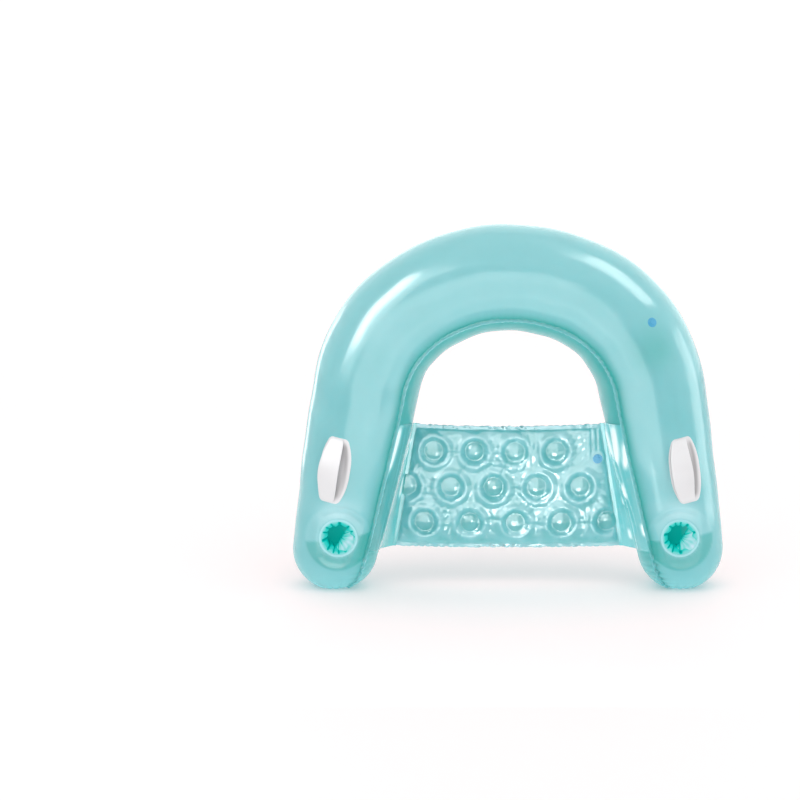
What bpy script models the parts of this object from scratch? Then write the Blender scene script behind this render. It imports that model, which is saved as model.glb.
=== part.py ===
"""Sit-in pool float: a horseshoe tube welded from two vinyl films, with two cup holders, two grab
handles, a bubbled seat pad hung between the arms on clear flaps, and a sunk valve in each chamber.

Metres, +Z up. The float stands on its two rounded arm ends, its front faces -Y, and the origin lies
on the floor under the middle of its whole depth. The tube runs from the crown down both arms: s is
the length along its centreline from the crown, positive to the right (+X). The functions below work
from the tube's middle plane, and add_object moves each piece back from there.
"""

import math

import bmesh
import bpy
import numpy as np
from mathutils import Matrix

# The tube's centreline: an arc over the crown, a tighter arc at each shoulder, then a straight arm.
CROWN_ARC_RADIUS = 0.440
CROWN_ARC_ANGLE = math.radians(31.0)
SHOULDER_ARC_RADIUS = 0.335
ARM_SPLAY = math.radians(10.7)
ARM_LENGTH = 0.462

# The inflated tube, its welded seams and the flats that it stands on.
TUBE_RADIUS = 0.1435
FOOT_RADIUS = 0.1165
FOOT_TAPER_POWER = 1.5
SOLE_SINK = 0.011
SEAM_ROLL = math.radians(44.0)
SEAM_FLANGE = 0.008
SOLE_FLANGE = 0.002
TUBE_FILM = 0.0004

# Cup holders, centred on the arm's front line.
CUP_ABOVE_FOOT = 0.049
CUP_BORE_RADIUS = 0.046
CUP_BASE_RADIUS = 0.037
CUP_DEPTH = 0.090
CUP_FILM = 0.0006
CUP_RIM_WIDTH = 0.006
CUP_RIM_THICKNESS = 0.0015
CUP_LAND = 0.004
CUP_FLAT_MARGIN = 0.018
CUP_DISH_WIDTH = 0.020

# Grab handles: a base plate welded on the arm and a strap bowed over it.
HANDLE_ABOVE_FOOT = 0.234
HANDLE_TURN = math.radians(20.0)
HANDLE_LENGTH = 0.180
HANDLE_WIDTH = 0.089
HANDLE_END_WIDTH = 0.050
HANDLE_BASE_THICKNESS = 0.0014
STRAP_WIDTH = 0.052
STRAP_END_WIDTH = 0.036
STRAP_SIDE_SHIFT = 0.010
STRAP_THICKNESS = 0.0028
STRAP_LIFT = 0.027
STRAP_FOOT_LENGTH = 0.022
BARREL_POWER = 2.6
BARREL_CORNER_SHARE = 0.1
BARREL_CORNER_CUT = 0.28

# The seat pad: two films welded round the edge and at round spots.
SEAT_TOP = 0.440
SEAT_HEIGHT = 0.332
SEAT_BACKSET = 0.010
SEAT_TOP_CLEARANCE = 0.006
SEAT_BOTTOM_CLEARANCE = 0.036
SEAT_EDGE_WELD = 0.012
SEAT_BULGE = 0.028
SEAT_EDGE_ROUND = 0.036
SEAT_FILM = 0.0005
SPOT_WELD_RADIUS = 0.018
SPOT_ROUND = 0.036
SPOTS_PER_ROW = 5
SPOT_ROWS = 3
VALVE_PILLOW = 0.013
VALVE_PILLOW_WALL = 0.004

# The clear flaps that carry the seat pad from the tube's inner seams.
FLAP_FILM = 0.0005
FLAP_TOP = 0.462
FLAP_BOTTOM = 0.128
FLAP_STANDOFF = 0.0028
FLAP_LAP = 0.009
FLAP_SEAM_TURN = math.radians(4.0)
FLAP_FACE_TURN = math.radians(8.0)

# The valves: a flange and collar, a sliding stem, a hinged stopper and a one-way flap inside.
TUBE_VALVE_HEADING = math.radians(52.5)
TUBE_VALVE_TURN = math.radians(29.0)
VALVE_FLANGE_RADIUS = 0.013
VALVE_FLANGE_THICKNESS = 0.001
VALVE_COLLAR_RADIUS = 0.008
VALVE_COLLAR_DEPTH = 0.008
VALVE_STEM_RADIUS = 0.006
VALVE_BORE_RADIUS = 0.0032
VALVE_TRAVEL = 0.006
VALVE_LIP_RADIUS = 0.0088
VALVE_LIP_THICKNESS = 0.001
VALVE_STOP_THICKNESS = 0.0014
VALVE_STOP_RADIUS = 0.0075
VALVE_CAP_RADIUS = 0.0066
VALVE_CAP_THICKNESS = 0.0014
VALVE_STOPPER_ROOT = 0.0026
VALVE_STOPPER_TIP = 0.0019
VALVE_STOPPER_LENGTH = 0.0048
VALVE_HINGE_REACH = 0.0104
VALVE_TAB_WIDTH = 0.005
VALVE_FLAP_RADIUS = 0.0046
VALVE_FLAP_THICKNESS = 0.0005

# Gaps that touching pieces keep, and how finely each form is divided.
FIT_GAP = 0.0003
ARCH_ROWS = 22
ARM_ROW_STEP = 0.048
CUP_ROW_STEP = 0.015
CAP_ROWS = 6
FILM_COLUMNS = 12
HANDLE_ROWS = 12
HANDLE_COLUMNS = 6
SPOT_PITCH_CELLS = 6
SPOT_ROW_CELLS = 5
FLAP_ROWS = 10
FLAP_BEND_COLUMNS = 4
ROUND_SEGMENTS = 32
VALVE_SEGMENTS = 16
SMOOTH_BELOW = math.radians(40.0)

FRONT = np.array([0.0, -1.0, 0.0])
ARM_HEADING = math.pi / 2 - ARM_SPLAY
CROWN_ARC_LENGTH = CROWN_ARC_RADIUS * CROWN_ARC_ANGLE
ARM_START = CROWN_ARC_LENGTH + SHOULDER_ARC_RADIUS * (ARM_HEADING - CROWN_ARC_ANGLE)
FOOT = ARM_START + ARM_LENGTH
FOOT_HEIGHT = FOOT_RADIUS - SOLE_SINK
SOLE_ANGLE = math.acos(FOOT_HEIGHT / FOOT_RADIUS)


def empty_scene():
    for obj in list(bpy.data.objects):
        bpy.data.objects.remove(obj, do_unlink=True)


def plastic(name, colour, roughness, alpha=1.0):
    """A vinyl or moulded plastic: one Principled shader with its colour and gloss."""
    material = bpy.data.materials.new(name)
    material.use_nodes = True
    shader = material.node_tree.nodes["Principled BSDF"]
    shader.inputs["Base Color"].default_value = (*colour, 1.0)
    shader.inputs["Roughness"].default_value = roughness
    shader.inputs["Metallic"].default_value = 0.0
    shader.inputs["Alpha"].default_value = alpha
    return material


def heading(s):
    """The centreline's turn from level at length s: it grows along the two arcs and stops at the arm."""
    d = np.abs(s)
    shoulder = CROWN_ARC_ANGLE + (d - CROWN_ARC_LENGTH) / SHOULDER_ARC_RADIUS
    return np.minimum(np.where(d < CROWN_ARC_LENGTH, d / CROWN_ARC_RADIUS, shoulder), ARM_HEADING)


def centreline(s):
    """Centre points of the tube at the lengths s, an array of rows x, y, z."""
    s = np.asarray(s, float)
    h = heading(s)
    in_crown = np.minimum(h, CROWN_ARC_ANGLE)
    run = CROWN_ARC_RADIUS * np.sin(in_crown)
    run += SHOULDER_ARC_RADIUS * (np.sin(h) - np.sin(in_crown))
    drop = CROWN_ARC_RADIUS * (1 - np.cos(in_crown))
    drop += SHOULDER_ARC_RADIUS * (np.cos(in_crown) - np.cos(h))
    along_arm = np.maximum(np.abs(s) - ARM_START, 0.0)
    run += along_arm * math.cos(ARM_HEADING)
    drop += along_arm * math.sin(ARM_HEADING)
    return np.stack([np.sign(s) * run, 0 * run, CROWN_HEIGHT - drop], axis=-1)


def crown_height():
    """Height of the centreline at the crown: the foot's height and every drop from the crown to it."""
    crown_drop = CROWN_ARC_RADIUS * (1 - math.cos(CROWN_ARC_ANGLE))
    shoulder_drop = SHOULDER_ARC_RADIUS * (math.cos(CROWN_ARC_ANGLE) - math.cos(ARM_HEADING))
    return FOOT_HEIGHT + crown_drop + shoulder_drop + ARM_LENGTH * math.sin(ARM_HEADING)


CROWN_HEIGHT = crown_height()


def tube_radius(s):
    """The tube's radius: even over the arch, then narrowing down the arm to the foot's."""
    along_arm = np.clip((np.abs(s) - ARM_START) / ARM_LENGTH, 0, 1)
    return TUBE_RADIUS + (FOOT_RADIUS - TUBE_RADIUS) * along_arm**FOOT_TAPER_POWER


def setback():
    """How far back the tube's middle plane lies: half of what the grips reach further than the tube."""
    at_handle = float(tube_radius(FOOT - HANDLE_ABOVE_FOOT))
    grip = at_handle + HANDLE_BASE_THICKNESS + STRAP_LIFT + STRAP_THICKNESS
    return (grip * math.cos(HANDLE_TURN / 2) - TUBE_RADIUS) / 2


def directions(side, h):
    """Unit vectors at heading h on one side (-1 left, 1 right): away from the horseshoe's inside, to the
    inner seam, square to that towards the front film, and along the tube towards the foot."""
    side, h = np.broadcast_arrays(side, h)
    away = np.stack([side * np.sin(h), 0 * h, np.cos(h)], axis=-1)
    to_seam = math.cos(SEAM_ROLL) * FRONT - math.sin(SEAM_ROLL) * away
    to_film = math.sin(SEAM_ROLL) * FRONT + math.cos(SEAM_ROLL) * away
    along = np.stack([side * np.cos(h), 0 * h, -np.sin(h)], axis=-1)
    return away, to_seam, to_film, along


def on_tube(s, turn, height):
    """Points over the tube at lengths s, turned from the front line away from the horseshoe's inside by
    the angle turn, at a height over the film."""
    s, turn, height = np.broadcast_arrays(np.asarray(s, float), turn, height)
    away = directions(np.where(s < 0, -1.0, 1.0), heading(s))[0]
    outward = np.cos(turn)[..., None] * FRONT + np.sin(turn)[..., None] * away
    return centreline(s) + (tube_radius(s) + height)[..., None] * outward


def at_height(z):
    """Length along the right half at which an arm's centreline is z above the floor."""
    return FOOT - (z - FOOT_HEIGHT) / math.sin(ARM_HEADING)


def inner_face(z):
    """How far from the middle plane the arm's inner face is, at height z, level with the centreline."""
    s = at_height(z)
    return centreline(s)[..., 0] - tube_radius(s) / math.sin(ARM_HEADING)


def carrier_empty(name, origin, axes):
    """An empty that carries pieces with axes of their own: its origin, and its three axes as rows."""
    empty = bpy.data.objects.new(name, None)
    empty.matrix_world = Matrix.Translation(origin - setback() * FRONT) @ Matrix(axes).transposed().to_4x4()
    bpy.context.collection.objects.link(empty)
    return empty


def add_object(name, points, faces, material, carrier=None, pivot=(0.0, 0.0, 0.0)):
    """A named mesh object from vertices and faces, welded where rows close on a point, and facing
    outward. Its points are in its carrier's axes and its origin is the pivot there; without a carrier
    they are over the tube's middle plane, and it is moved back by the setback."""
    place = np.array(pivot) if carrier else -setback() * FRONT
    mesh = bpy.data.meshes.new(name)
    mesh.from_pydata((np.asarray(points) - np.array(pivot)).tolist(), [], faces)
    work = bmesh.new()
    work.from_mesh(mesh)
    bmesh.ops.remove_doubles(work, verts=work.verts, dist=1e-6)
    bmesh.ops.delete(work, geom=[edge for edge in work.edges if not edge.link_faces], context="EDGES")
    bmesh.ops.recalc_face_normals(work, faces=work.faces)
    if work.calc_volume(signed=True) < 0:
        bmesh.ops.reverse_faces(work, faces=work.faces)
    work.to_mesh(mesh)
    work.free()
    mesh.shade_smooth()
    mesh.set_sharp_from_angle(angle=SMOOTH_BELOW)
    mesh.materials.append(material)
    obj = bpy.data.objects.new(name, mesh)
    obj.parent = carrier
    obj.location = place
    bpy.context.collection.objects.link(obj)
    return obj


def sheet_between(name, top, bottom, material, carrier=None):
    """A closed sheet between two grids of points with the same rows and columns."""
    rows, columns = top.shape[:2]
    index = np.arange(rows * columns).reshape(rows, columns)
    under = index + rows * columns

    def triangles(grid):
        """Both halves of each cell, split the same way on both surfaces so that a thin sheet stays clear
        of itself where its cells are twisted."""
        a, b, c, d = grid[:-1, :-1], grid[1:, :-1], grid[1:, 1:], grid[:-1, 1:]
        return np.stack([a, b, c, a, c, d], axis=-1).reshape(-1, 3)

    faces = [triangles(index), triangles(under)[:, ::-1]]
    for edge, other in (
        (index[0], under[0]),
        (index[-1][::-1], under[-1][::-1]),
        (index[:, 0][::-1], under[:, 0][::-1]),
        (index[:, -1], under[:, -1]),
    ):
        a, b, c, d = edge[:-1], edge[1:], other[1:], other[:-1]
        faces.append(np.stack([a, b, c, a, c, d], axis=-1).reshape(-1, 3))
    points = np.concatenate([top.reshape(-1, 3), bottom.reshape(-1, 3)])
    return add_object(name, points, np.concatenate(faces).tolist(), material, carrier)


def turned(name, profile, material, carrier, segments, pivot=(0.0, 0.0, 0.0)):
    """A solid of revolution: a closed outline of radius and height carried round the carrier's Z."""
    angles = np.linspace(0, 2 * math.pi, segments, endpoint=False)
    radius, height = np.array(profile).T
    ring = np.stack(
        [
            radius[None, :] * np.cos(angles)[:, None],
            radius[None, :] * np.sin(angles)[:, None],
            np.broadcast_to(height, (segments, len(profile))),
        ],
        axis=-1,
    )
    count = len(profile)
    step = np.arange(segments)[:, None] * count
    after = np.roll(step, -1, axis=0)
    here = np.arange(count)[None, :]
    there = (here + 1) % count
    faces = np.stack([step + here, after + here, after + there, step + there], axis=-1)
    return add_object(name, ring.reshape(-1, 3), faces.reshape(-1, 4).tolist(), material, carrier, pivot)


def cut(obj, cutter):
    """Cuts a hole in the object with a hidden cutter."""
    cutter.hide_render = True
    cutter.display_type = "WIRE"
    hole = obj.modifiers.new("hole", "BOOLEAN")
    hole.operation = "DIFFERENCE"
    # the exact solver leaves open edges where it cuts films this thin
    hole.solver = "MANIFOLD"
    hole.object = cutter


def joined(obj, other):
    """Unites a second solid with the object, so that both are one body."""
    other.hide_render = True
    other.display_type = "WIRE"
    union = obj.modifiers.new("union", "BOOLEAN")
    union.operation = "UNION"
    union.object = other


def disc_profile(radius, low, high):
    return [(0.0, low), (radius, low), (radius, high), (0.0, high)]


def tube_rows(cup_detail):
    """Stations of one film: lengths along the tube, with closer rows at the cup holders if asked."""
    arch = np.linspace(-ARM_START, ARM_START, ARCH_ROWS + 1)
    fine_length = CUP_ABOVE_FOOT + cup_dish_radius() if cup_detail else 0.0
    coarse = max(ARM_LENGTH - fine_length, ARM_ROW_STEP)
    steps = np.linspace(0, coarse, round(coarse / ARM_ROW_STEP) + 1)[1:]
    if cup_detail:
        fine = np.linspace(coarse, ARM_LENGTH, math.ceil((ARM_LENGTH - coarse) / CUP_ROW_STEP) + 1)[1:]
        steps = np.concatenate([steps, fine])
    arm = ARM_START + steps
    return np.concatenate([-arm[::-1], arch, arm])


def film_grid(cup_detail, film_side, inside):
    """One surface of one film as a grid: rows run from the left foot's tip over the crown to the right
    foot's tip, columns from the inner seam's flange round the tube to the outer seam's flange.
    The film side is 1 for the front film and -1 for the rear one."""
    lengths = tube_rows(cup_detail)
    caps = np.linspace(math.pi / 2, SOLE_ANGLE, CAP_ROWS + 1)[1:]
    side = np.concatenate([-np.ones(CAP_ROWS), np.where(lengths < 0, -1.0, 1.0), np.ones(CAP_ROWS)])
    s = np.concatenate([np.full(CAP_ROWS, -FOOT), lengths, np.full(CAP_ROWS, FOOT)])
    polar = np.concatenate([caps[::-1], np.full(len(lengths), math.pi / 2), caps])
    towards_sole = (math.pi / 2 - polar) / (math.pi / 2 - SOLE_ANGLE)
    h = heading(s) + (math.pi / 2 - ARM_HEADING) * towards_sole
    _, to_seam, to_film, along = directions(side, h)
    flange = SEAM_FLANGE + (SOLE_FLANGE - SEAM_FLANGE) * towards_sole

    angles = np.linspace(0, math.pi, FILM_COLUMNS + 1)
    skin = tube_radius(s)[:, None]
    if inside:
        radius = skin - TUBE_FILM
        across = radius * np.cos(angles)
        out = radius * np.sin(angles)
        edge_out = 0.0
    else:
        # the film bends out into its flange where it is one thickness from the seam's plane
        bend = np.arcsin(TUBE_FILM / skin)
        angles = bend + (math.pi - 2 * bend) * angles / math.pi
        across = skin * np.cos(angles)
        out = skin * np.sin(angles)
        edge_out = TUBE_FILM
    tip = skin[:, 0] + flange
    edge = np.full_like(tip, edge_out)
    across = np.concatenate([tip[:, None], across, -tip[:, None]], axis=1)
    out = np.concatenate([edge[:, None], out, edge[:, None]], axis=1)

    reach = np.hypot(across, out)
    points = centreline(s)[:, None, :]
    points = points + np.sin(polar)[:, None, None] * across[..., None] * to_seam[:, None, :]
    points = points + film_side * np.sin(polar)[:, None, None] * out[..., None] * to_film[:, None, :]
    points = points + (np.cos(polar)[:, None] * reach)[..., None] * along[:, None, :]
    points = points + film_side * FIT_GAP / 2 * to_film[:, None, :]
    points = dished(points, TUBE_FILM if inside else 0.0)
    floor = np.zeros(points.shape[1])
    if inside:
        floor[1:-1] = TUBE_FILM
    points[..., 2] = np.maximum(points[..., 2], floor)
    return with_soles(points, floor, film_side * FIT_GAP / 2 * to_film[[0, -1]])


def with_soles(points, floor, shift):
    """Adds the rows of each flat sole: one half way in from its edge, and one closed on its centre."""
    ends = []
    for row, side, move in ((points[0], -1.0, shift[0]), (points[-1], 1.0, shift[1])):
        centre = centreline(side * FOOT) + move
        rows = []
        for share in (0.5, 0.0):
            inner_row = centre + share * (row - centre)
            inner_row[:, 2] = floor
            rows.append(inner_row)
        ends.append(rows)
    return np.concatenate([[ends[0][1], ends[0][0]], points, ends[1]])


def cup_centre(side):
    """The point of the arm's centreline behind a cup holder's mouth."""
    return centreline(side * (FOOT - CUP_ABOVE_FOOT))


def cup_rim_radius():
    return CUP_BORE_RADIUS + CUP_RIM_WIDTH


def cup_dish_radius():
    return cup_rim_radius() + CUP_FLAT_MARGIN + CUP_DISH_WIDTH


def cup_mouth_y():
    """The plane in which the mouth lies: the film is drawn in until the rim's whole width lies flat."""
    flat = cup_rim_radius() + CUP_LAND
    return -math.sqrt(float(tube_radius(FOOT - CUP_ABOVE_FOOT)) ** 2 - flat**2)


def dished(points, depth):
    """Points of a film drawn in to the plane of each cup holder's mouth, easing out over the dish."""
    points = points.copy()
    plane = cup_mouth_y() + depth
    for side in (-1, 1):
        centre = cup_centre(side)
        away = np.hypot(points[..., 0] - centre[0], points[..., 2] - centre[2])
        ease = np.clip((cup_dish_radius() - away) / CUP_DISH_WIDTH, 0, 1)
        ease = 0.5 - 0.5 * np.cos(math.pi * ease)
        points[..., 1] += ease * np.maximum(plane - points[..., 1], 0)
    return points


def make_tube(film_material):
    """The two films of the main chamber, each with its half of the welded seam flanges."""
    films = []
    for name, film_side, cup_detail in (
        ("tube_front_film", 1.0, True),
        ("tube_rear_film", -1.0, False),
    ):
        outside = film_grid(cup_detail, film_side, inside=False)
        inside = film_grid(cup_detail, film_side, inside=True)
        films.append(sheet_between(name, outside, inside, film_material))
    return films


def make_cup(side_name, side, front_film, materials):
    """A cup holder: a sleeve hung inside the arm from a rim round the mouth, narrowing to a base disc."""
    centre = cup_centre(side)
    # its axes are across, down and into the arm, so that a height is a depth
    mouth = carrier_empty(
        f"{side_name}_cup_mouth",
        np.array([centre[0], cup_mouth_y(), centre[2]]),
        [[1, 0, 0], [0, 0, -1], [0, 1, 0]],
    )
    rim = cup_rim_radius()
    bore = CUP_BORE_RADIUS
    wall = bore + CUP_FILM
    front, back = -FIT_GAP - CUP_RIM_THICKNESS, -FIT_GAP
    turned(
        f"{side_name}_cup_rim",
        [(bore, front), (bore, back), (rim, back), (rim - CUP_RIM_THICKNESS / 2, front)],
        materials["ring"],
        mouth,
        ROUND_SEGMENTS,
    )
    turned(
        f"{side_name}_cup_sleeve",
        [(bore, 0.0), (CUP_BASE_RADIUS, CUP_DEPTH), (CUP_BASE_RADIUS + CUP_FILM, CUP_DEPTH), (wall, 0.0)],
        materials["sleeve"],
        mouth,
        ROUND_SEGMENTS,
    )
    turned(
        f"{side_name}_cup_base",
        disc_profile(CUP_BASE_RADIUS + CUP_FILM, CUP_DEPTH + FIT_GAP, CUP_DEPTH + FIT_GAP + CUP_FILM),
        materials["sleeve"],
        mouth,
        ROUND_SEGMENTS,
    )
    hole = turned(
        f"{side_name}_cup_hole",
        disc_profile(wall + FIT_GAP, -CUP_RIM_WIDTH, CUP_RIM_WIDTH),
        materials["ring"],
        mouth,
        ROUND_SEGMENTS,
    )
    cut(front_film, hole)


def barrel_width(u, middle, end):
    """Width of a handle's barrel-shaped outline at u, from -1 at one end to 1 at the other: full in the
    middle, narrower towards each end, and rounded off at the corners."""
    body = end + (middle - end) * (1 - np.abs(u) ** BARREL_POWER)
    corner = np.clip((np.abs(u) - 1) / BARREL_CORNER_SHARE + 1, 0, 1)
    return body * (1 - BARREL_CORNER_CUT * (1 - np.sqrt(1 - corner**2)))


def handle_sheet(name, centre_s, turn, along, widths, shift, low, thickness, material):
    """A sheet that follows the arm: rows along it, columns across it, at a height over the film."""
    columns = np.linspace(-1, 1, HANDLE_COLUMNS + 1)
    s = centre_s + along[:, None]
    radius = tube_radius(s)
    # a turn runs away from the horseshoe's inside, so the side makes the columns run to +X on both arms
    side = np.sign(centre_s)
    angle = turn + side * (shift + columns[None, :] * widths[:, None] / 2) / radius
    bottom = on_tube(s, angle, low[:, None] + 0 * angle)
    top = on_tube(s, angle, low[:, None] + thickness + 0 * angle)
    return sheet_between(name, top, bottom, material)


def make_handle(side_name, side, material):
    """A grab handle: a base plate on the film, and a strap that touches it only at its two ends."""
    centre_s = side * (FOOT - HANDLE_ABOVE_FOOT)
    u = np.linspace(-1, 1, HANDLE_ROWS + 1)
    on_film = FIT_GAP + FIT_GAP / 2
    handle_sheet(
        f"{side_name}_handle_base",
        centre_s,
        HANDLE_TURN,
        u * HANDLE_LENGTH / 2,
        barrel_width(u, HANDLE_WIDTH, HANDLE_END_WIDTH),
        0.0,
        np.full_like(u, on_film),
        HANDLE_BASE_THICKNESS,
        material,
    )
    strap_length = HANDLE_LENGTH - 2 * HANDLE_BASE_THICKNESS - STRAP_THICKNESS
    foot_share = 2 * STRAP_FOOT_LENGTH / strap_length
    bow = np.clip((1 - np.abs(u)) / foot_share - 1, 0, None) / (1 / foot_share - 1)
    lift = STRAP_LIFT * np.sin(np.clip(bow, 0, 1) * math.pi / 2)
    handle_sheet(
        f"{side_name}_handle_strap",
        centre_s,
        HANDLE_TURN,
        u * strap_length / 2,
        barrel_width(u, STRAP_WIDTH, STRAP_END_WIDTH),
        -STRAP_SIDE_SHIFT * (1 - np.abs(u[:, None]) ** 2),
        on_film + HANDLE_BASE_THICKNESS + FIT_GAP + lift,
        STRAP_THICKNESS,
        material,
    )


def seat_columns():
    """Half the number of cells across the inflated pad, and up it: a whole number to each spot."""
    return SPOTS_PER_ROW * SPOT_PITCH_CELLS // 2 - 1, SPOT_ROWS * SPOT_ROW_CELLS // 2 + 1


def seat_half_width(z):
    """The pad's half width at height z: its edges keep their clearance from the arms' inner faces."""
    bottom = SEAT_TOP - SEAT_HEIGHT
    at_top = inner_face(SEAT_TOP) - SEAT_TOP_CLEARANCE
    at_bottom = inner_face(bottom) - SEAT_BOTTOM_CLEARANCE
    return at_bottom + (at_top - at_bottom) * (z - bottom) / SEAT_HEIGHT


def seat_point(column, row):
    """Place in the pad's plane of a cell corner counted from the pad's centre: x and z."""
    across, up = seat_columns()
    cell = (SEAT_HEIGHT / 2 - SEAT_EDGE_WELD) / up
    z = SEAT_TOP - SEAT_HEIGHT / 2 + np.clip(row, -up, up) * cell
    z = z + np.sign(row) * np.maximum(np.abs(row) - up, 0) * SEAT_EDGE_WELD
    half = seat_half_width(z)
    x = np.clip(column / across, -1, 1) * (half - SEAT_EDGE_WELD)
    x = x + np.sign(column) * np.maximum(np.abs(column) - across, 0) * SEAT_EDGE_WELD
    return x, z


def seat_valve_cell():
    """The cell corner that the pad's valve stands on, near the upper right corner."""
    return seat_columns()[0] - 1, SPOT_ROW_CELLS - 1


def seat_spots():
    """Cell corners of the spot welds: staggered rows, less the one that makes room for the valve."""
    spots = []
    for line in range(SPOT_ROWS):
        row = (line - SPOT_ROWS // 2) * SPOT_ROW_CELLS
        shift = 1 if line % 2 == 0 else 1 - SPOT_PITCH_CELLS // 2
        for place in range(SPOTS_PER_ROW):
            column = (place - SPOTS_PER_ROW // 2) * SPOT_PITCH_CELLS + shift
            near = abs(column - seat_valve_cell()[0]) < 2 and abs(row - seat_valve_cell()[1]) < 2
            if not near:
                spots.append((column, row))
    return spots


def rounded(distance, reach):
    """A quarter-round rise from 0 at the weld to 1 at the reach."""
    return np.sqrt(1 - (1 - np.clip(distance / reach, 0, 1)) ** 2)


def seat_bulge(x, z):
    """How far each film of the pad stands off the middle: nothing at the welds, full between them."""
    from_side = seat_half_width(z) - SEAT_EDGE_WELD - np.abs(x)
    from_end = SEAT_HEIGHT / 2 - SEAT_EDGE_WELD - np.abs(z - SEAT_TOP + SEAT_HEIGHT / 2)
    bulge = SEAT_BULGE * rounded(from_side, SEAT_EDGE_ROUND) * rounded(from_end, SEAT_EDGE_ROUND)
    for column, row in seat_spots():
        spot_x, spot_z = seat_point(column, row)
        bulge = bulge * rounded(np.hypot(x - spot_x, z - spot_z) - SPOT_WELD_RADIUS, SPOT_ROUND)
    return bulge


def seat_grid(side, thickness):
    """One surface of a pad film, offset from the middle plane: side -1 is the front film, 1 the rear."""
    across, up = seat_columns()
    valve_column, valve_row = seat_valve_cell()
    # the pad keeps a flat pillow under the valve's flange, with a steep wall beside the edge weld
    cell = seat_point(valve_column, valve_row)[0] - seat_point(valve_column - 1, valve_row)[0]
    wall_column = across - VALVE_PILLOW_WALL / cell
    columns = np.sort(np.append(np.arange(-across - 1, across + 2), wall_column))
    column, row = np.meshgrid(columns, np.arange(-up - 1, up + 2))
    x, z = seat_point(column, row)
    bulge = seat_bulge(x, z)
    pillow = (column >= valve_column - 1) & (column <= wall_column) & (np.abs(row - valve_row) <= 1)
    bulge = np.where(pillow, VALVE_PILLOW, bulge)
    y = SEAT_BACKSET + side * (FIT_GAP / 2 + bulge + thickness)
    return np.stack([x, y, z], axis=-1)


def make_seat(material):
    """The pad's front and rear films, welded round the edge and at the spots."""
    films = []
    for name, side in (("seat_front_film", -1), ("seat_rear_film", 1)):
        films.append(sheet_between(name, seat_grid(side, SEAT_FILM), seat_grid(side, 0.0), material))
    return films


def make_flap(side_name, side, material):
    """A clear flap: lapped on the tube's inner seam flange, round the arm's inner face, and lapped on
    the front of the pad's side weld."""
    share = np.linspace(0, 1, FLAP_ROWS + 1)
    s = side * at_height(FLAP_BOTTOM + share * (FLAP_TOP - FLAP_BOTTOM))
    seat_z = SEAT_TOP - SEAT_HEIGHT + share * SEAT_HEIGHT
    _, to_seam, to_film, _ = directions(side, heading(s))
    radius = tube_radius(s)
    centre = centreline(s)
    lap_y = SEAT_BACKSET - FIT_GAP / 2 - SEAT_FILM - FIT_GAP

    def section(offset):
        """Points of the section, offset from the face that touches the flange and the pad."""
        columns = []
        # down the rear face of the seam flange, from its tip to its root
        under = -(FIT_GAP / 2 + TUBE_FILM + FIT_GAP) - offset
        for reach in (SEAM_FLANGE, FLAP_STANDOFF + FLAP_FILM):
            columns.append(centre + (radius + reach)[:, None] * to_seam + under * to_film)
        # round the arm, from just behind the seam to just in front of the inner face
        last = math.pi / 2 - SEAM_ROLL - FLAP_FACE_TURN
        for angle in np.linspace(FLAP_SEAM_TURN, last, FLAP_BEND_COLUMNS + 1):
            outward = math.cos(angle) * to_seam - math.sin(angle) * to_film
            columns.append(centre + (radius + FLAP_STANDOFF + offset)[:, None] * outward)
        # across to the pad and over its side weld
        for inset in (0.0, FLAP_LAP):
            x = side * (seat_half_width(seat_z) - inset)
            columns.append(np.stack([x, np.full_like(x, lap_y - offset), seat_z], axis=-1))
        return np.stack(columns, axis=1)

    return sheet_between(f"seat_{side_name}_flap", section(0.0), section(FLAP_FILM), material)


def tube_valve_seat():
    """The tube's valve: where it sits on the right shoulder, turned a little to the outer side, and the
    way out of the film there."""
    in_shoulder = SHOULDER_ARC_RADIUS * (TUBE_VALVE_HEADING - CROWN_ARC_ANGLE)
    s = CROWN_ARC_LENGTH + in_shoulder
    outward = on_tube(s, TUBE_VALVE_TURN, 1.0) - on_tube(s, TUBE_VALVE_TURN, 0.0)
    return on_tube(s, TUBE_VALVE_TURN, FIT_GAP / 2), outward


def seat_valve_seat():
    """The pad's valve: where it sits on the flat pillow near the upper right corner, and its way out."""
    x, z = seat_point(*seat_valve_cell())
    return np.array([x, SEAT_BACKSET - FIT_GAP / 2 - VALVE_PILLOW - SEAT_FILM, z]), FRONT


def box_at(name, low, high, material, carrier):
    """A box between two corners in its carrier's axes."""
    x, y, z = zip(low, high)
    top = np.array([[[a, b, z[1]] for b in y] for a in x])
    bottom = np.array([[[a, b, z[0]] for b in y] for a in x])
    return sheet_between(name, top, bottom, material, carrier)


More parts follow.
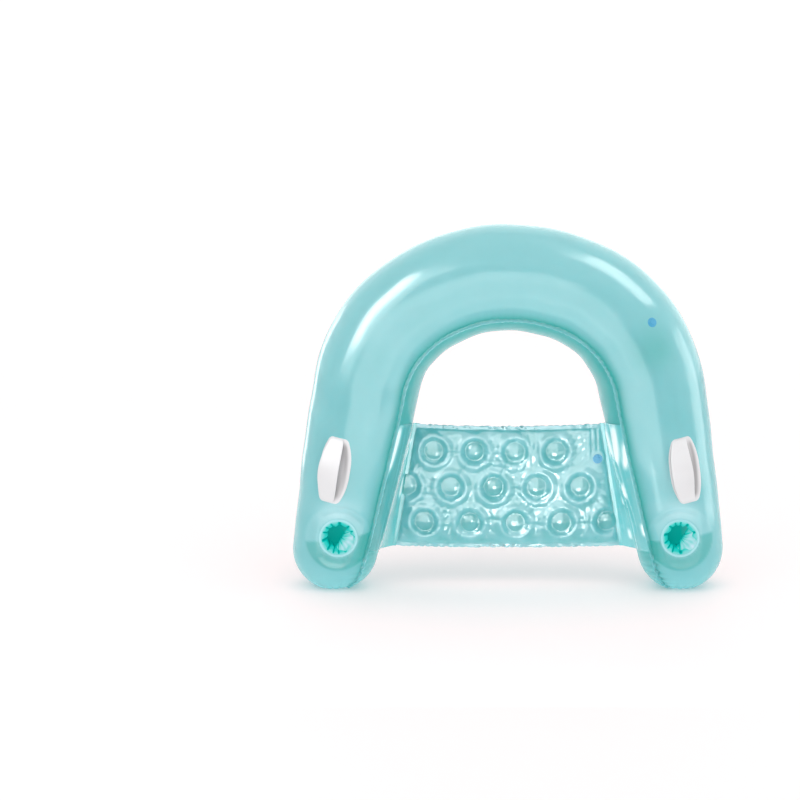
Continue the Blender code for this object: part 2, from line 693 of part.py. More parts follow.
def make_valve(chamber, seat, film, material):
    """A sunk valve: flange and collar in the film, a stem that slides in the collar, a stopper hinged
    on the stem's lip, and a one-way flap hinged under the stem. Its axes are towards the hinges, which
    lie uphill of it, across, and out of the film."""
    origin, outward = seat
    uphill = np.array([0.0, 0.0, 1.0]) - outward * outward[2]
    uphill = uphill / np.linalg.norm(uphill)
    frame = carrier_empty(f"{chamber}_valve_axis", origin, [uphill, np.cross(outward, uphill), outward])
    flange_top = FIT_GAP + VALVE_FLANGE_THICKNESS
    collar_bore = VALVE_STEM_RADIUS + FIT_GAP
    turned(
        f"{chamber}_valve_flange",
        [
            (collar_bore, -VALVE_COLLAR_DEPTH),
            (VALVE_COLLAR_RADIUS, -VALVE_COLLAR_DEPTH),
            (VALVE_COLLAR_RADIUS, FIT_GAP),
            (VALVE_FLANGE_RADIUS, FIT_GAP),
            (VALVE_FLANGE_RADIUS - VALVE_FLANGE_THICKNESS / 2, flange_top),
            (collar_bore, flange_top),
        ],
        material,
        frame,
        VALVE_SEGMENTS,
    )
    hole = turned(
        f"{chamber}_valve_hole",
        disc_profile(VALVE_COLLAR_RADIUS + FIT_GAP, -VALVE_COLLAR_DEPTH, VALVE_COLLAR_DEPTH),
        material,
        frame,
        VALVE_SEGMENTS,
    )
    cut(film, hole)

    lip_low = flange_top + FIT_GAP
    lip_top = lip_low + VALVE_LIP_THICKNESS
    stop_top = -VALVE_COLLAR_DEPTH - VALVE_TRAVEL - FIT_GAP
    stem_end = stop_top - VALVE_STOP_THICKNESS
    stem = turned(
        f"{chamber}_valve_stem",
        [
            (VALVE_BORE_RADIUS, stem_end),
            (VALVE_STOP_RADIUS, stem_end),
            (VALVE_STOP_RADIUS, stop_top),
            (VALVE_STEM_RADIUS, stop_top),
            (VALVE_STEM_RADIUS, lip_low),
            (VALVE_LIP_RADIUS, lip_low),
            (VALVE_LIP_RADIUS, lip_top),
            (VALVE_BORE_RADIUS, lip_top),
        ],
        material,
        frame,
        VALVE_SEGMENTS,
    )
    half_tab = VALVE_TAB_WIDTH / 2
    ear = box_at(
        f"{chamber}_valve_ear",
        (VALVE_LIP_RADIUS - VALVE_LIP_THICKNESS, -half_tab, lip_low),
        (VALVE_HINGE_REACH, half_tab, lip_top),
        material,
        frame,
    )
    joined(stem, ear)

    cap_low = lip_top + FIT_GAP
    cap_top = cap_low + VALVE_CAP_THICKNESS
    plug = turned(
        f"{chamber}_valve_plug",
        [
            (0.0, lip_top - VALVE_STOPPER_LENGTH),
            (VALVE_STOPPER_TIP, lip_top - VALVE_STOPPER_LENGTH),
            (VALVE_STOPPER_ROOT, cap_low),
            (VALVE_CAP_RADIUS, cap_low),
            (VALVE_CAP_RADIUS - VALVE_CAP_THICKNESS / 3, cap_top),
            (0.0, cap_top),
        ],
        material,
        frame,
        VALVE_SEGMENTS,
        pivot=(VALVE_HINGE_REACH, 0.0, lip_top + FIT_GAP / 2),
    )
    strap = box_at(
        f"{chamber}_valve_strap",
        (VALVE_CAP_RADIUS - VALVE_CAP_THICKNESS, -half_tab, cap_low),
        (VALVE_HINGE_REACH, half_tab, cap_low + VALVE_CAP_THICKNESS / 2),
        material,
        frame,
    )
    joined(plug, strap)

    flap_top = stem_end - FIT_GAP
    turned(
        f"{chamber}_valve_check_flap",
        disc_profile(VALVE_FLAP_RADIUS, flap_top - VALVE_FLAP_THICKNESS, flap_top),
        material,
        frame,
        VALVE_SEGMENTS,
        pivot=(VALVE_FLAP_RADIUS, 0.0, flap_top),
    )


def build():
    empty_scene()
    aqua = plastic("aqua_vinyl", (0.27, 0.62, 0.63), 0.18)
    clear = plastic("clear_aqua_vinyl", (0.22, 0.60, 0.60), 0.12, alpha=0.7)
    deep = plastic("cup_vinyl", (0.02, 0.42, 0.38), 0.25)
    pale = plastic("rim_vinyl", (0.55, 0.82, 0.83), 0.25)
    white = plastic("white_vinyl", (0.86, 0.85, 0.86), 0.35)
    blue = plastic("blue_valve_vinyl", (0.05, 0.33, 0.58), 0.3)

    front_film, _ = make_tube(aqua)
    seat_front, _ = make_seat(clear)
    for side_name, side in (("left", -1), ("right", 1)):
        make_cup(side_name, side, front_film, {"ring": pale, "sleeve": deep})
        make_handle(side_name, side, white)
        make_flap(side_name, side, clear)
    make_valve("tube", tube_valve_seat(), front_film, blue)
    make_valve("seat", seat_valve_seat(), seat_front, blue)


build()
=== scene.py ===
"""Looks of a sit-in pool float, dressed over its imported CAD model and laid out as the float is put
together: the tube, its cup pockets, its handles, the seat pad, the flaps that carry it, the valves.

Metres, +Z up, front towards -Y, in the frame of the CAD. s is a length along the tube's centreline,
counted from the crown and growing to the right. side is -1 on the left half and 1 on the right.
"""

import math

import bmesh
import bpy
import numpy as np
from mathutils import Matrix


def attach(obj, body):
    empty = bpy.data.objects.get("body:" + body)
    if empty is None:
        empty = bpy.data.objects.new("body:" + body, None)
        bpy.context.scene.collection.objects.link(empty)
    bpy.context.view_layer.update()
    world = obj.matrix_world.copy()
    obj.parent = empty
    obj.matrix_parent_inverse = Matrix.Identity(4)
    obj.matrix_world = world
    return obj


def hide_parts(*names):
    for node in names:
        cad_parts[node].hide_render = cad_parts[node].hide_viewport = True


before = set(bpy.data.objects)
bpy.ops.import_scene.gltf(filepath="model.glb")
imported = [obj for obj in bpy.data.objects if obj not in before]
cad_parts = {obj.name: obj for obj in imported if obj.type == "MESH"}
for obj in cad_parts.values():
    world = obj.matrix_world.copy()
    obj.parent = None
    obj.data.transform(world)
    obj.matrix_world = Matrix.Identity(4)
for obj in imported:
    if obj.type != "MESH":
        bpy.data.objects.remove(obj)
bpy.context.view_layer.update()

# The tube

# Two flat sheets of 0.4 mm translucent PVC film, cut to a horseshoe and welded to each other along
# the inner and outer seams by a heated bar, then blown up round. The margin outside the weld stands
# out as a thin flange, and the film puckers where the cut turns, most of all round the arm ends.

setback = 0.009664
crown_radius, crown_turn = 0.440, math.radians(31.0)
shoulder_radius, arm_heading = 0.335, math.pi / 2 - math.radians(10.7)
arm_length = 0.462
round_radius, foot_radius, foot_taper = 0.1435, 0.1165, 1.5
foot_height = foot_radius - 0.011
seam_roll = math.radians(44.0)
seam_flange, sole_flange = 0.008, 0.002
film, weld_gap = 0.0004, 0.0003
arm_start = crown_radius * crown_turn + shoulder_radius * (arm_heading - crown_turn)
foot = arm_start + arm_length
sole_angle = math.acos(foot_height / foot_radius)
forward = np.array([0.0, -1.0, 0.0])


def heading(s):
    """The centreline's turn from level at s: it grows along the crown's arc, then faster along the
    shoulder's, and stops at the arm's."""
    d = np.abs(s)
    shoulder = crown_turn + (d - crown_radius * crown_turn) / shoulder_radius
    return np.minimum(np.where(d < crown_radius * crown_turn, d / crown_radius, shoulder), arm_heading)


def spine(s):
    """Centre points of the tube at s: the run and drop of two arcs and a straight arm, with the feet's
    centres one sole height over the floor."""
    h = heading(s)
    low, high = np.minimum(h, crown_turn), np.maximum(h, crown_turn)
    arm = np.maximum(np.abs(s) - arm_start, 0.0)
    run = crown_radius * np.sin(low) + shoulder_radius * (np.sin(high) - math.sin(crown_turn))
    run = run + arm * math.cos(arm_heading)
    full = crown_radius * (1 - math.cos(crown_turn))
    full += shoulder_radius * (math.cos(crown_turn) - math.cos(arm_heading))
    crown_height = foot_height + full + arm_length * math.sin(arm_heading)
    drop = crown_radius * (1 - np.cos(low)) + shoulder_radius * (math.cos(crown_turn) - np.cos(high))
    drop = drop + arm * math.sin(arm_heading)
    return np.stack([np.sign(s) * run, 0 * run + setback, crown_height - drop], axis=-1)


def tube_radius(s):
    """Even over the arch, then narrowing down each arm by a power of the share of its length."""
    share = np.clip((np.abs(s) - arm_start) / arm_length, 0, 1)
    return round_radius + (foot_radius - round_radius) * share**foot_taper


def directions(side, h):
    """Unit vectors at heading h: away from the horseshoe's inside, to the inner seam, square to that
    towards the front film, and along the tube to the foot."""
    side, h = np.broadcast_arrays(side, h)
    away = np.stack([side * np.sin(h), 0 * h, np.cos(h)], axis=-1)
    to_seam = math.cos(seam_roll) * forward - math.sin(seam_roll) * away
    to_film = math.sin(seam_roll) * forward + math.cos(seam_roll) * away
    along = np.stack([side * np.cos(h), 0 * h, -np.sin(h)], axis=-1)
    return away, to_seam, to_film, along


def on_tube(s, turn, height):
    """Points over the tube at s, turned from its front line away from the horseshoe's inside by an
    angle, at a height over the film."""
    s, turn, height = np.broadcast_arrays(s, turn, height)
    away = directions(np.where(s < 0, -1.0, 1.0), heading(s))[0]
    outward = np.cos(turn)[..., None] * forward + np.sin(turn)[..., None] * away
    return spine(s) + (tube_radius(s) + height)[..., None] * outward


def at_height(z):
    """The s on the right arm at which its centreline is z above the floor."""
    return foot - (z - foot_height) / math.sin(arm_heading)


def smooth_step(low, high, value):
    """0 below low, 1 above high, and an even S between them."""
    t = np.clip((value - low) / (high - low), 0, 1)
    return t * t * (3 - 2 * t)


def bell(distance, width):
    """1 at no distance, falling off evenly on both sides to next to nothing at two widths."""
    return np.exp(-((distance / width) ** 2))


def pinches(phase):
    """1 in sharp valleys at each multiple of pi, and 0 on the round ridges between them."""
    return 1 - np.abs(np.sin(phase))


def creases(length, pitch, seed):
    """Puckers along a weld, as a share of their depth: pinches about a pitch apart. Three slow sines
    make the pitch and the depth wander."""
    turns = np.random.default_rng(seed).uniform(0, 2 * math.pi, 4)
    wander = 0.55 * np.sin(length / (2.3 * pitch) + turns[0]) + 0.35 * np.sin(length / pitch + turns[1])
    valley = pinches(math.pi * length / pitch + wander + turns[2])
    return valley**1.6 * (0.65 + 0.35 * np.sin(length / (1.7 * pitch) + turns[3]))


def grid_faces(rows, columns, closed=False, flip=False):
    """Four-cornered faces of a grid whose points are numbered row by row. A closed grid joins its last
    column to its first, and flip turns every face over."""
    index = np.arange(rows * columns).reshape(rows, columns)
    if closed:
        index = np.concatenate([index, index[:, :1]], axis=1)
    corners = [index[:-1, :-1], index[1:, :-1], index[1:, 1:], index[:-1, 1:]]
    faces = np.stack(corners, axis=-1).reshape(-1, 4)
    return faces[:, ::-1] if flip else faces


def open_hole(points, faces, centre, outward, radius):
    """Opens a round hole in a film: faces wholly inside it go, and corners left inside it move out to
    its edge, square to the way out of the film."""
    height = (points - centre) @ outward
    flat = points - centre - height[:, None] * outward
    distance = np.linalg.norm(flat, axis=1)
    inside = (distance < radius) & (np.abs(height) < 0.03)
    faces = faces[~inside[faces].all(axis=1)]
    grown = flat * (radius / np.maximum(distance, 1e-6))[:, None] - flat
    return points + np.where(inside[:, None], grown, 0.0), faces


def mesh_piece(name, points, faces, material, body="float", slot="aqua_vinyl", wall=0.0, **tones):
    """A smooth mesh object from points and faces, welded where they close on a pole or a seam. A wall
    gives the film its thickness, grown inwards, and each tone becomes a number on every point."""
    mesh = bpy.data.meshes.new(name)
    mesh.from_pydata(np.asarray(points).reshape(-1, 3).tolist(), [], np.asarray(faces).tolist())
    for tone, values in tones.items():
        mesh.attributes.new(tone, "FLOAT", "POINT").data.foreach_set("value", np.ravel(values))
    work = bmesh.new()
    work.from_mesh(mesh)
    bmesh.ops.remove_doubles(work, verts=work.verts, dist=1e-6)
    bmesh.ops.delete(work, geom=[v for v in work.verts if not v.link_faces], context="VERTS")
    work.to_mesh(mesh)
    work.free()
    mesh.shade_smooth()
    mesh.materials.append(material)
    piece = bpy.data.objects.new(name, mesh)
    bpy.context.scene.collection.objects.link(piece)
    if wall:
        thickness = piece.modifiers.new("wall", "SOLIDIFY")
        thickness.thickness, thickness.offset = wall, -1.0
    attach(piece, body)
    return piece


def to_linear(code):
    """A colour as the shaders take it, from its sRGB hex code."""
    srgb = np.array([int(code[i : i + 2], 16) / 255 for i in (1, 3, 5)])
    linear = np.where(srgb <= 0.04045, srgb / 12.92, ((srgb + 0.055) / 1.055) ** 2.4)
    return (*linear.tolist(), 1.0)


def add_node(material, kind, settings=None, inputs=None):
    """Adds a node with its settings, and sets each input to a value or links a socket to it."""
    node = material.node_tree.nodes.new(kind)
    for key, value in (settings or {}).items():
        setattr(node, key, value)
    for key, value in (inputs or {}).items():
        if isinstance(value, bpy.types.NodeSocket):
            material.node_tree.links.new(value, node.inputs[key])
        else:
            node.inputs[key].default_value = value
    return node


def vinyl_film(
    name, colours, gloss, glow=0.0, veiled=False, grain=0.00004, shine=0.5, coat=0.0, coat_ior=1.5, lit=0.0
):
    """Calendered PVC film. Its three colours, pale, even and deep, follow the tone attribute from 1
    through 0 to -1, with a faint cloudiness of the pigment; some pieces carry painted shade and
    highlights in their tone. Glow is the share of light that scatters through the film, lit an
    emission in the film's own colour that paints in, as a glow, the light that reaches it from behind,
    shine the strength of its reflections and coat that of the wet-looking ones on clear film. A veiled
    film is as opaque as its veil attribute says. Its bump is the orange peel left by the rollers, about
    3 mm across, drawn coarser than the real 1 mm so that it shows at all."""
    # noises by their waves in a metre: clouds of 110 mm, wear of 25 mm and peel of 3 mm
    cloud_scale, wear_scale, peel_scale = 9.0, 40.0, 330.0
    material = bpy.data.materials.new(name)
    material.use_nodes = True
    shader = material.node_tree.nodes["Principled BSDF"]
    place = add_node(material, "ShaderNodeTexCoord").outputs["Object"]
    clouds = add_node(
        material, "ShaderNodeTexNoise", {}, {"Vector": place, "Scale": cloud_scale, "Detail": 3.0}
    )
    tone = add_node(material, "ShaderNodeAttribute", {"attribute_name": "tone"}).outputs["Fac"]
    drift = add_node(
        material,
        "ShaderNodeMath",
        {"operation": "MULTIPLY_ADD"},
        {0: clouds.outputs["Fac"], 1: 0.3, 2: -0.15},
    )
    total = add_node(material, "ShaderNodeMath", {"operation": "ADD"}, {0: tone, 1: drift.outputs[0]})
    share = add_node(
        material, "ShaderNodeMapRange", {}, {"Value": total.outputs[0], "From Min": -1.0, "From Max": 1.0}
    )
    ramp = add_node(material, "ShaderNodeValToRGB", {}, {"Fac": share.outputs[0]})
    stops = ramp.color_ramp.elements
    stops.new(0.5)
    for stop, code in zip(stops, colours[::-1]):
        stop.color = to_linear(code)
    peel = add_node(material, "ShaderNodeTexNoise", {}, {"Vector": place, "Scale": peel_scale, "Detail": 2.0})
    bump = add_node(
        material, "ShaderNodeBump", {}, {"Height": peel.outputs["Fac"], "Strength": 0.5, "Distance": grain}
    )
    wear = add_node(material, "ShaderNodeTexNoise", {}, {"Vector": place, "Scale": wear_scale, "Detail": 4.0})
    rough = add_node(
        material,
        "ShaderNodeMapRange",
        {},
        {"Value": wear.outputs["Fac"], "To Min": gloss * 0.75, "To Max": gloss * 1.3},
    )
    links = material.node_tree.links
    links.new(ramp.outputs["Color"], shader.inputs["Base Color"])
    links.new(rough.outputs[0], shader.inputs["Roughness"])
    links.new(bump.outputs["Normal"], shader.inputs["Normal"])
    shader.inputs["IOR"].default_value = 1.53
    shader.inputs["Specular IOR Level"].default_value = shine
    shader.inputs["Subsurface Weight"].default_value = glow
    shader.inputs["Subsurface Radius"].default_value = (0.8, 1.0, 1.0)
    shader.inputs["Subsurface Scale"].default_value = 0.0008
    shader.inputs["Coat Weight"].default_value = coat
    shader.inputs["Coat Roughness"].default_value = 0.05
    shader.inputs["Coat IOR"].default_value = coat_ior
    if lit:
        links.new(ramp.outputs["Color"], shader.inputs["Emission Color"])
        shader.inputs["Emission Strength"].default_value = lit
    if veiled:
        veil = add_node(material, "ShaderNodeAttribute", {"attribute_name": "veil"})
        links.new(veil.outputs["Fac"], shader.inputs["Alpha"])
    return material


# the cup mouths draw the front film in to a flat, and the tube's valve goes through it
cup_above_foot, cup_bore, cup_rim_width = 0.049, 0.046, 0.006
cup_land, cup_flat_margin, cup_dish_slope = 0.004, 0.018, 0.020
cup_rim = cup_bore + cup_rim_width
cup_dish = cup_rim + cup_flat_margin + cup_dish_slope
cup_centres = {side: spine(np.array(side * (foot - cup_above_foot))) for side in (-1.0, 1.0)}
cup_flat_depth = math.sqrt(float(tube_radius(foot - cup_above_foot)) ** 2 - (cup_rim + cup_land) ** 2)
cup_mouth_y = setback - cup_flat_depth
dish_pleats, dish_pleat_depth = 23, 0.0006
valve_hole = 0.0095
tube_valve_heading, tube_valve_turn = math.radians(52.5), math.radians(29.0)
tube_valve_s = crown_radius * crown_turn + shoulder_radius * (tube_valve_heading - crown_turn)
tube_valve_origin = on_tube(tube_valve_s, tube_valve_turn, weld_gap / 2)
tube_valve_outward = on_tube(tube_valve_s, tube_valve_turn, 1.0) - on_tube(tube_valve_s, tube_valve_turn, 0.0)


def dished(points):
    """Draws the film in to the plane of each cup mouth, easing out over the dish's slope, and pleats it
    faintly where it gathers to the rim."""
    for side in (-1.0, 1.0):
        x, z = points[..., 0] - cup_centres[side][0], points[..., 2] - cup_centres[side][2]
        away = np.hypot(x, z)
        ease = 0.5 - 0.5 * np.cos(math.pi * np.clip((cup_dish - away) / cup_dish_slope, 0, 1))
        pleat = dish_pleat_depth * bell(away - cup_rim - 0.008, 0.008)
        pleat = pleat * (0.5 + 0.5 * np.sin(dish_pleats * np.arctan2(z, x)))
        front = (points[..., 1] < 0) & (away < cup_dish)
        drawn = points[..., 1] + ease * np.maximum(cup_mouth_y - points[..., 1], 0) - pleat
        points[..., 1] = np.where(front, drawn, points[..., 1])
    return points


def tube_film(name, film_side, material):
    """One film of the tube as a grid. Rows run from the left sole's centre round the left arm end, over
    the crown, and down to the right sole's centre; columns run from the inner seam's flange round the
    tube to the outer seam's flange. The skin stands one radius from the spine, less a groove and
    puckers that fade away from each weld, plus a slow unevenness; the arm ends are half balls."""
    rows_along, rows_round_end, points_across = 428, 30, 84
    end_pucker, groove_depth, groove_reach = 0.0074, 0.0022, 0.007
    lengths = np.linspace(-foot, foot, rows_along)
    polar_end = np.linspace(math.pi / 2, sole_angle, rows_round_end)[1:]
    ends = len(polar_end)
    side = np.concatenate([-np.ones(ends), np.where(lengths < 0, -1.0, 1.0), np.ones(ends)])
    s = np.concatenate([np.full(ends, -foot), lengths, np.full(ends, foot)])
    polar = np.concatenate([polar_end[::-1], np.full(len(lengths), math.pi / 2), polar_end])
    low = (math.pi / 2 - polar) / (math.pi / 2 - sole_angle)
    _, to_seam, to_film, along = directions(side, heading(s) + (math.pi / 2 - arm_heading) * low)
    path = s + side * foot_radius * (math.pi / 2 - polar)

    radius = tube_radius(s)[:, None]
    bend = np.arcsin((film + weld_gap / 2) / radius)
    t = np.linspace(0, 1, points_across)
    turn = bend + (math.pi - 2 * bend) * (t - 0.09 * np.sin(2 * math.pi * t))
    from_inner, from_outer = radius * turn, radius * (math.pi - turn)

    arch = 1 - smooth_step(arm_start - 0.08, arm_start + 0.10, np.abs(s))[:, None]
    end = smooth_step(foot - 0.06, foot + 0.05, np.abs(path))[:, None]
    reach = 0.016 + 0.020 * end
    inner = (0.0008 + 0.0010 * arch + end_pucker * end) * creases(path, 0.026, 3)[:, None]
    outer = (0.0006 + end_pucker * end) * creases(path, 0.031, 4)[:, None]
    skin = radius - inner * np.exp(-from_inner / reach) - outer * np.exp(-from_outer / reach)
    groove = bell(from_inner, groove_reach) + bell(from_outer, groove_reach)
    around = film_side * turn
    slow = 0.0010 * np.sin(path[:, None] / 0.052 + 0.6 + around)
    slow = slow + 0.0006 * np.sin(path[:, None] / 0.023 + 2.1 - 2 * around)
    sole_fold = creases(around * 0.05, 0.0235, 5) * smooth_step(0.45, 1.0, low)[:, None]
    skin = skin - groove_depth * groove + slow * (1 - 0.7 * end) - 0.0030 * sole_fold

    across = skin * np.cos(turn)
    out = film_side * skin * np.sin(turn)
    flange = (seam_flange + (sole_flange - seam_flange) * low)[:, None]
    width = flange * (1 - (0.12 + 0.5 * end) * creases(path, 0.019, 6)[:, None])
    width = width * np.array([1.0, 0.66, 0.33])
    edge = film_side * np.full((len(s), 3), film + weld_gap / 2)
    across = np.concatenate([radius + width, across, -(radius + width[:, ::-1])], axis=1)
    out = np.concatenate([edge, out, edge], axis=1)
    wave = (0.0008 + 0.0022 * end) * np.sin(path[:, None] / 0.0042 + 1.5 * np.sin(path[:, None] / 0.031))
    fade_in = np.concatenate([np.ones_like(edge), np.exp(-from_inner / 0.006), 0 * edge], axis=1)
    fade_out = np.concatenate([0 * edge, np.exp(-from_outer / 0.006), np.ones_like(edge)], axis=1)
    out = out + wave * fade_in + wave[::-1] * fade_out

    ring, lift = np.sin(polar)[:, None, None], np.cos(polar)[:, None]
    points = spine(s)[:, None, :] + ring * across[..., None] * to_seam[:, None, :]
    points = points + ring * out[..., None] * to_film[:, None, :]
    points = points + (lift * np.hypot(across, out))[..., None] * along[:, None, :]
    points = dished(points)
    points[..., 2] = np.maximum(points[..., 2], 0.0)

    shares = np.array([0.85, 0.6, 0.4, 0.2, 0.0])[:, None, None]
    soles = []
    for row in (points[0], points[-1]):
        centre = np.array([math.copysign(abs(spine(np.array(foot))[0]), row[0, 0]), setback, 0.0])
        sole = centre + shares * (row - centre)
        sole[..., 2] = 0.0
        soles.append(sole)
    points = np.concatenate([soles[0][::-1], points, soles[1]])
    rows, columns = points.shape[:2]
    faces = grid_faces(rows, columns, flip=film_side < 0)

    # painted shade and highlights in the film's tone: deeper beside the inner weld, narrowly on the front
    # film and widely on the rear one, where the horseshoe's inside gets less light; a painted shaded spot
    # below the valve; painted shade in the lower half of each cup's dish; and a painted highlight on the
    # upper half of each dish and in a band above each cup
    from_weld = np.concatenate([0 * edge, from_inner, np.full(edge.shape, 1.0)], axis=1)
    depth, reach = (1.0, 0.022) if film_side > 0 else (0.8, 0.10)
    tone = -depth * (1 - 0.5 * end) * bell(from_weld, reach) * (from_weld > 0)
    tone = np.concatenate([np.zeros((5, columns)), tone, np.zeros((5, columns))])
    for centre in cup_centres.values():
        x, z = points[..., 0] - centre[0], points[..., 2] - centre[2]
        away = np.hypot(x, z)
        band = smooth_step(cup_rim, cup_rim + 0.004, away)
        band = band * (1 - smooth_step(cup_dish - 0.004, cup_dish + 0.003, away))
        below = 1 - smooth_step(-0.004, 0.004, z - 0.15 * x)
        # painted shade on the dish's lower half, a painted highlight on its upper half and above the cup
        tone += (0.25 * (1 - below) - 0.6 * below) * band * (points[..., 1] < 0)
        tone += 0.75 * bell(x, 0.055) * bell(z - 0.076, 0.030) * (points[..., 1] < 0)
    # painted shade in a spot below the valve, where the gloss finds no light
    valve_shade_spot = on_tube(tube_valve_s + 0.055, tube_valve_turn - 0.25, 0.0)
    tone -= 0.55 * bell(np.linalg.norm(points - valve_shade_spot, axis=-1), 0.055)
    points = points.reshape(-1, 3)
    if film_side > 0:
        for centre in cup_centres.values():
            mouth = np.array([centre[0], cup_mouth_y, centre[2]])
            points, faces = open_hole(points, faces, mouth, forward, cup_bore + 0.002)
        points, faces = open_hole(points, faces, tube_valve_origin, tube_valve_outward, valve_hole)
    return mesh_piece(name, points, faces, material, wall=film, tone=tone)


# rolled smooth, a little milky, it glows where light passes through and mirrors the room softly
tube_vinyl = vinyl_film("translucent_pvc_film", ("#B0DCE2", "#7CC3C8", "#42ADA9"), gloss=0.17, glow=1.0)
front_film = tube_film("front_film", 1.0, tube_vinyl)
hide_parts("tube_front_film")
rear_film = tube_film("rear_film", -1.0, tube_vinyl)
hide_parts("tube_rear_film")

# The cup holders

# Pockets of thin vinyl hung inside the arm ends: a sleeve gathered in pleats to a smaller disc, with
# its mouth welded to the front film under a pale flat ring. They are all welds, with no hard part.

cup_depth, cup_base_radius, cup_wall, cup_ring_thickness = 0.090, 0.037, 0.0006, 0.0015
sleeve_pleats, sleeve_pleat_depth = 13, 0.0062
neck_draw, neck_depth, neck_ease = 0.0110, 0.022, 0.0016
slack_chord, slack_turn, slack_crumple = 0.010, 0.52, 0.0012
base_gap, base_dome, base_pucker = 0.0005, 0.0009, 0.00016
ring_crimps = 46

# dyed deeper than the tube and matt inside; an emission paints in the glow of light through its thin wall,
# which reaches it more than the light from the mouth
pocket_vinyl = vinyl_film(
    "pocket_pvc_film", ("#B4C8D2", "#00B2A9", "#007F7C"), gloss=0.4, glow=0.6, shine=0.04, lit=0.44
)
# two films pressed into one by the weld, which turns them pale
ring_vinyl = vinyl_film("pale_ring_pvc", ("#C9EAED", "#9AD6DB", "#7CC8CB"), gloss=0.2, glow=0.5)


def full_turn(count):
    """A row of evenly spaced angles, once round."""
    return np.linspace(0, 2 * math.pi, count, endpoint=False)[None, :]


def squarish(wave, power):
    """A sine or cosine swelled towards a square wave: its size to a power below 1, with its own sign."""
    return np.sign(wave) * np.abs(wave) ** power


def round_mouth(centre, radius, angle, y):
    """Points at a radius and an angle round a cup's axis, at a depth y."""
    sideways, upwards = centre[0] + radius * np.cos(angle), centre[2] + radius * np.sin(angle)
    return np.stack([sideways, y + 0 * angle, upwards], axis=-1)


def pocket_sleeve(centre, side):
    """The sleeve's points and tones. It narrows fast behind the ring as its pleats gather, then runs on
    to the base. Low on one side it hangs slack: there a straight chord, crumpled a little, cuts its round
    section off, deepest a quarter of the way in. Its tone is painted shade: pale at the mouth, deeper
    further in, and deepest in the folds' valleys; the slack film gets a painted highlight where it faces
    the mouth, mottled by its crumple."""
    angle = full_turn(12 * sleeve_pleats)
    depth = (np.linspace(0, 1, 60) ** 1.5 * cup_depth)[:, None]
    neck = cup_bore - neck_draw * smooth_step(0.0, neck_depth, depth)
    neck = neck + neck_ease * smooth_step(0.03, cup_depth, depth)
    gather = sleeve_pleat_depth * smooth_step(0.0, 0.008, depth)
    gather = gather * (1 - 0.75 * smooth_step(0.018, 0.06, depth))
    gather = gather * (1 - smooth_step(cup_depth - 0.01, cup_depth, depth))
    wander = 0.8 * np.sin(3 * angle + side) + 0.8 * depth / cup_depth
    fold = pinches(sleeve_pleats * angle / 2 + wander)
    radius = neck - gather * (1 - fold) * (0.7 + 0.3 * np.sin(5 * angle + side))
    crumple = np.sin(9 * angle + 190 * depth) * np.sin(7 * angle - 310 * depth + side)
    sag = smooth_step(0.0, 0.024, depth) * (1 - smooth_step(0.034, 0.078, depth))
    chord = cup_bore - (cup_bore - slack_chord) * sag + slack_crumple * crumple * sag
    chord = chord / np.maximum(np.cos(angle + slack_turn), 0.05)
    slack = smooth_step(-0.005, 0.001, radius - chord)
    points = round_mouth(centre, np.minimum(radius, chord), angle, cup_mouth_y + depth)
    # painted shade: the sleeve darkens with depth and in the valleys of its folds
    fold_shade = smooth_step(0.001, 0.008, depth) * smooth_step(0.45, 0.80, fold)
    tone = 0.45 - 0.36 * smooth_step(0.001, 0.010, depth) - 0.95 * fold_shade
    tone = tone - 0.35 * smooth_step(0.012, 0.040, depth)
    # painted highlight on the slack film where it faces the mouth
    pale = slack * (1 - 0.9 * smooth_step(0.010, 0.025, depth))
    return points, np.clip(tone * (1 - pale) + pale * (0.70 + 0.3 * crumple), -1, 1)


def pocket_base(centre):
    """The base's points and tones: a disc that domes by a square law, puckered where it meets the
    sleeve, and paler on the side that the light through the wall reaches."""
    angle = full_turn(12 * sleeve_pleats)
    radius = np.linspace(0, 1, 24)[:, None] * (cup_base_radius + cup_wall)
    pucker = base_pucker * smooth_step(0.020, cup_base_radius, radius) * np.cos(sleeve_pleats * angle)
    dome = base_dome - base_dome * (radius / cup_base_radius) ** 2
    points = round_mouth(centre, radius, angle, cup_mouth_y + cup_depth + base_gap + dome + pucker)
    return points, -0.06 + 0.28 * (radius / cup_base_radius) * np.cos(angle - 0.2)


def mouth_ring(centre):
    """The ring's points and tones: a flat band whose section is a rounded box, from a squarish sine and
    cosine, pressed in front with the fine crimps of the welding tool."""
    angle = full_turn(4 * ring_crimps)
    loop = np.linspace(0, 2 * math.pi, 28)[:, None]
    half_thick = cup_ring_thickness / 2
    band = cup_rim_width / 2 * squarish(np.cos(loop), 0.45)
    rise = half_thick * squarish(np.sin(loop), 0.7)
    rise = rise * (1 + 0.12 * np.sin(ring_crimps * angle) * (rise > 0))
    radius = cup_bore + cup_rim_width / 2 + band
    return round_mouth(centre, radius, angle, cup_mouth_y - weld_gap - half_thick - rise), 0 * rise


for side_name, side in (("left", -1.0), ("right", 1.0)):
    centre = cup_centres[side]
    for piece_name, node, (points, tone), material, slot, wall in (
        ("pocket_sleeve", "cup_sleeve", pocket_sleeve(centre, side), pocket_vinyl, "cup_vinyl", cup_wall),
        ("pocket_base", "cup_base", pocket_base(centre), pocket_vinyl, "cup_vinyl", cup_wall),
        ("mouth_ring", "cup_rim", mouth_ring(centre), ring_vinyl, "rim_vinyl", 0.0),
    ):
        faces = grid_faces(*points.shape[:2], closed=True, flip=material is ring_vinyl)
        piece = mesh_piece(
            f"{side_name}_{piece_name}", points, faces, material, slot=slot, wall=wall, tone=tone
        )
        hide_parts(f"{side_name}_{node}")

# The grab handles

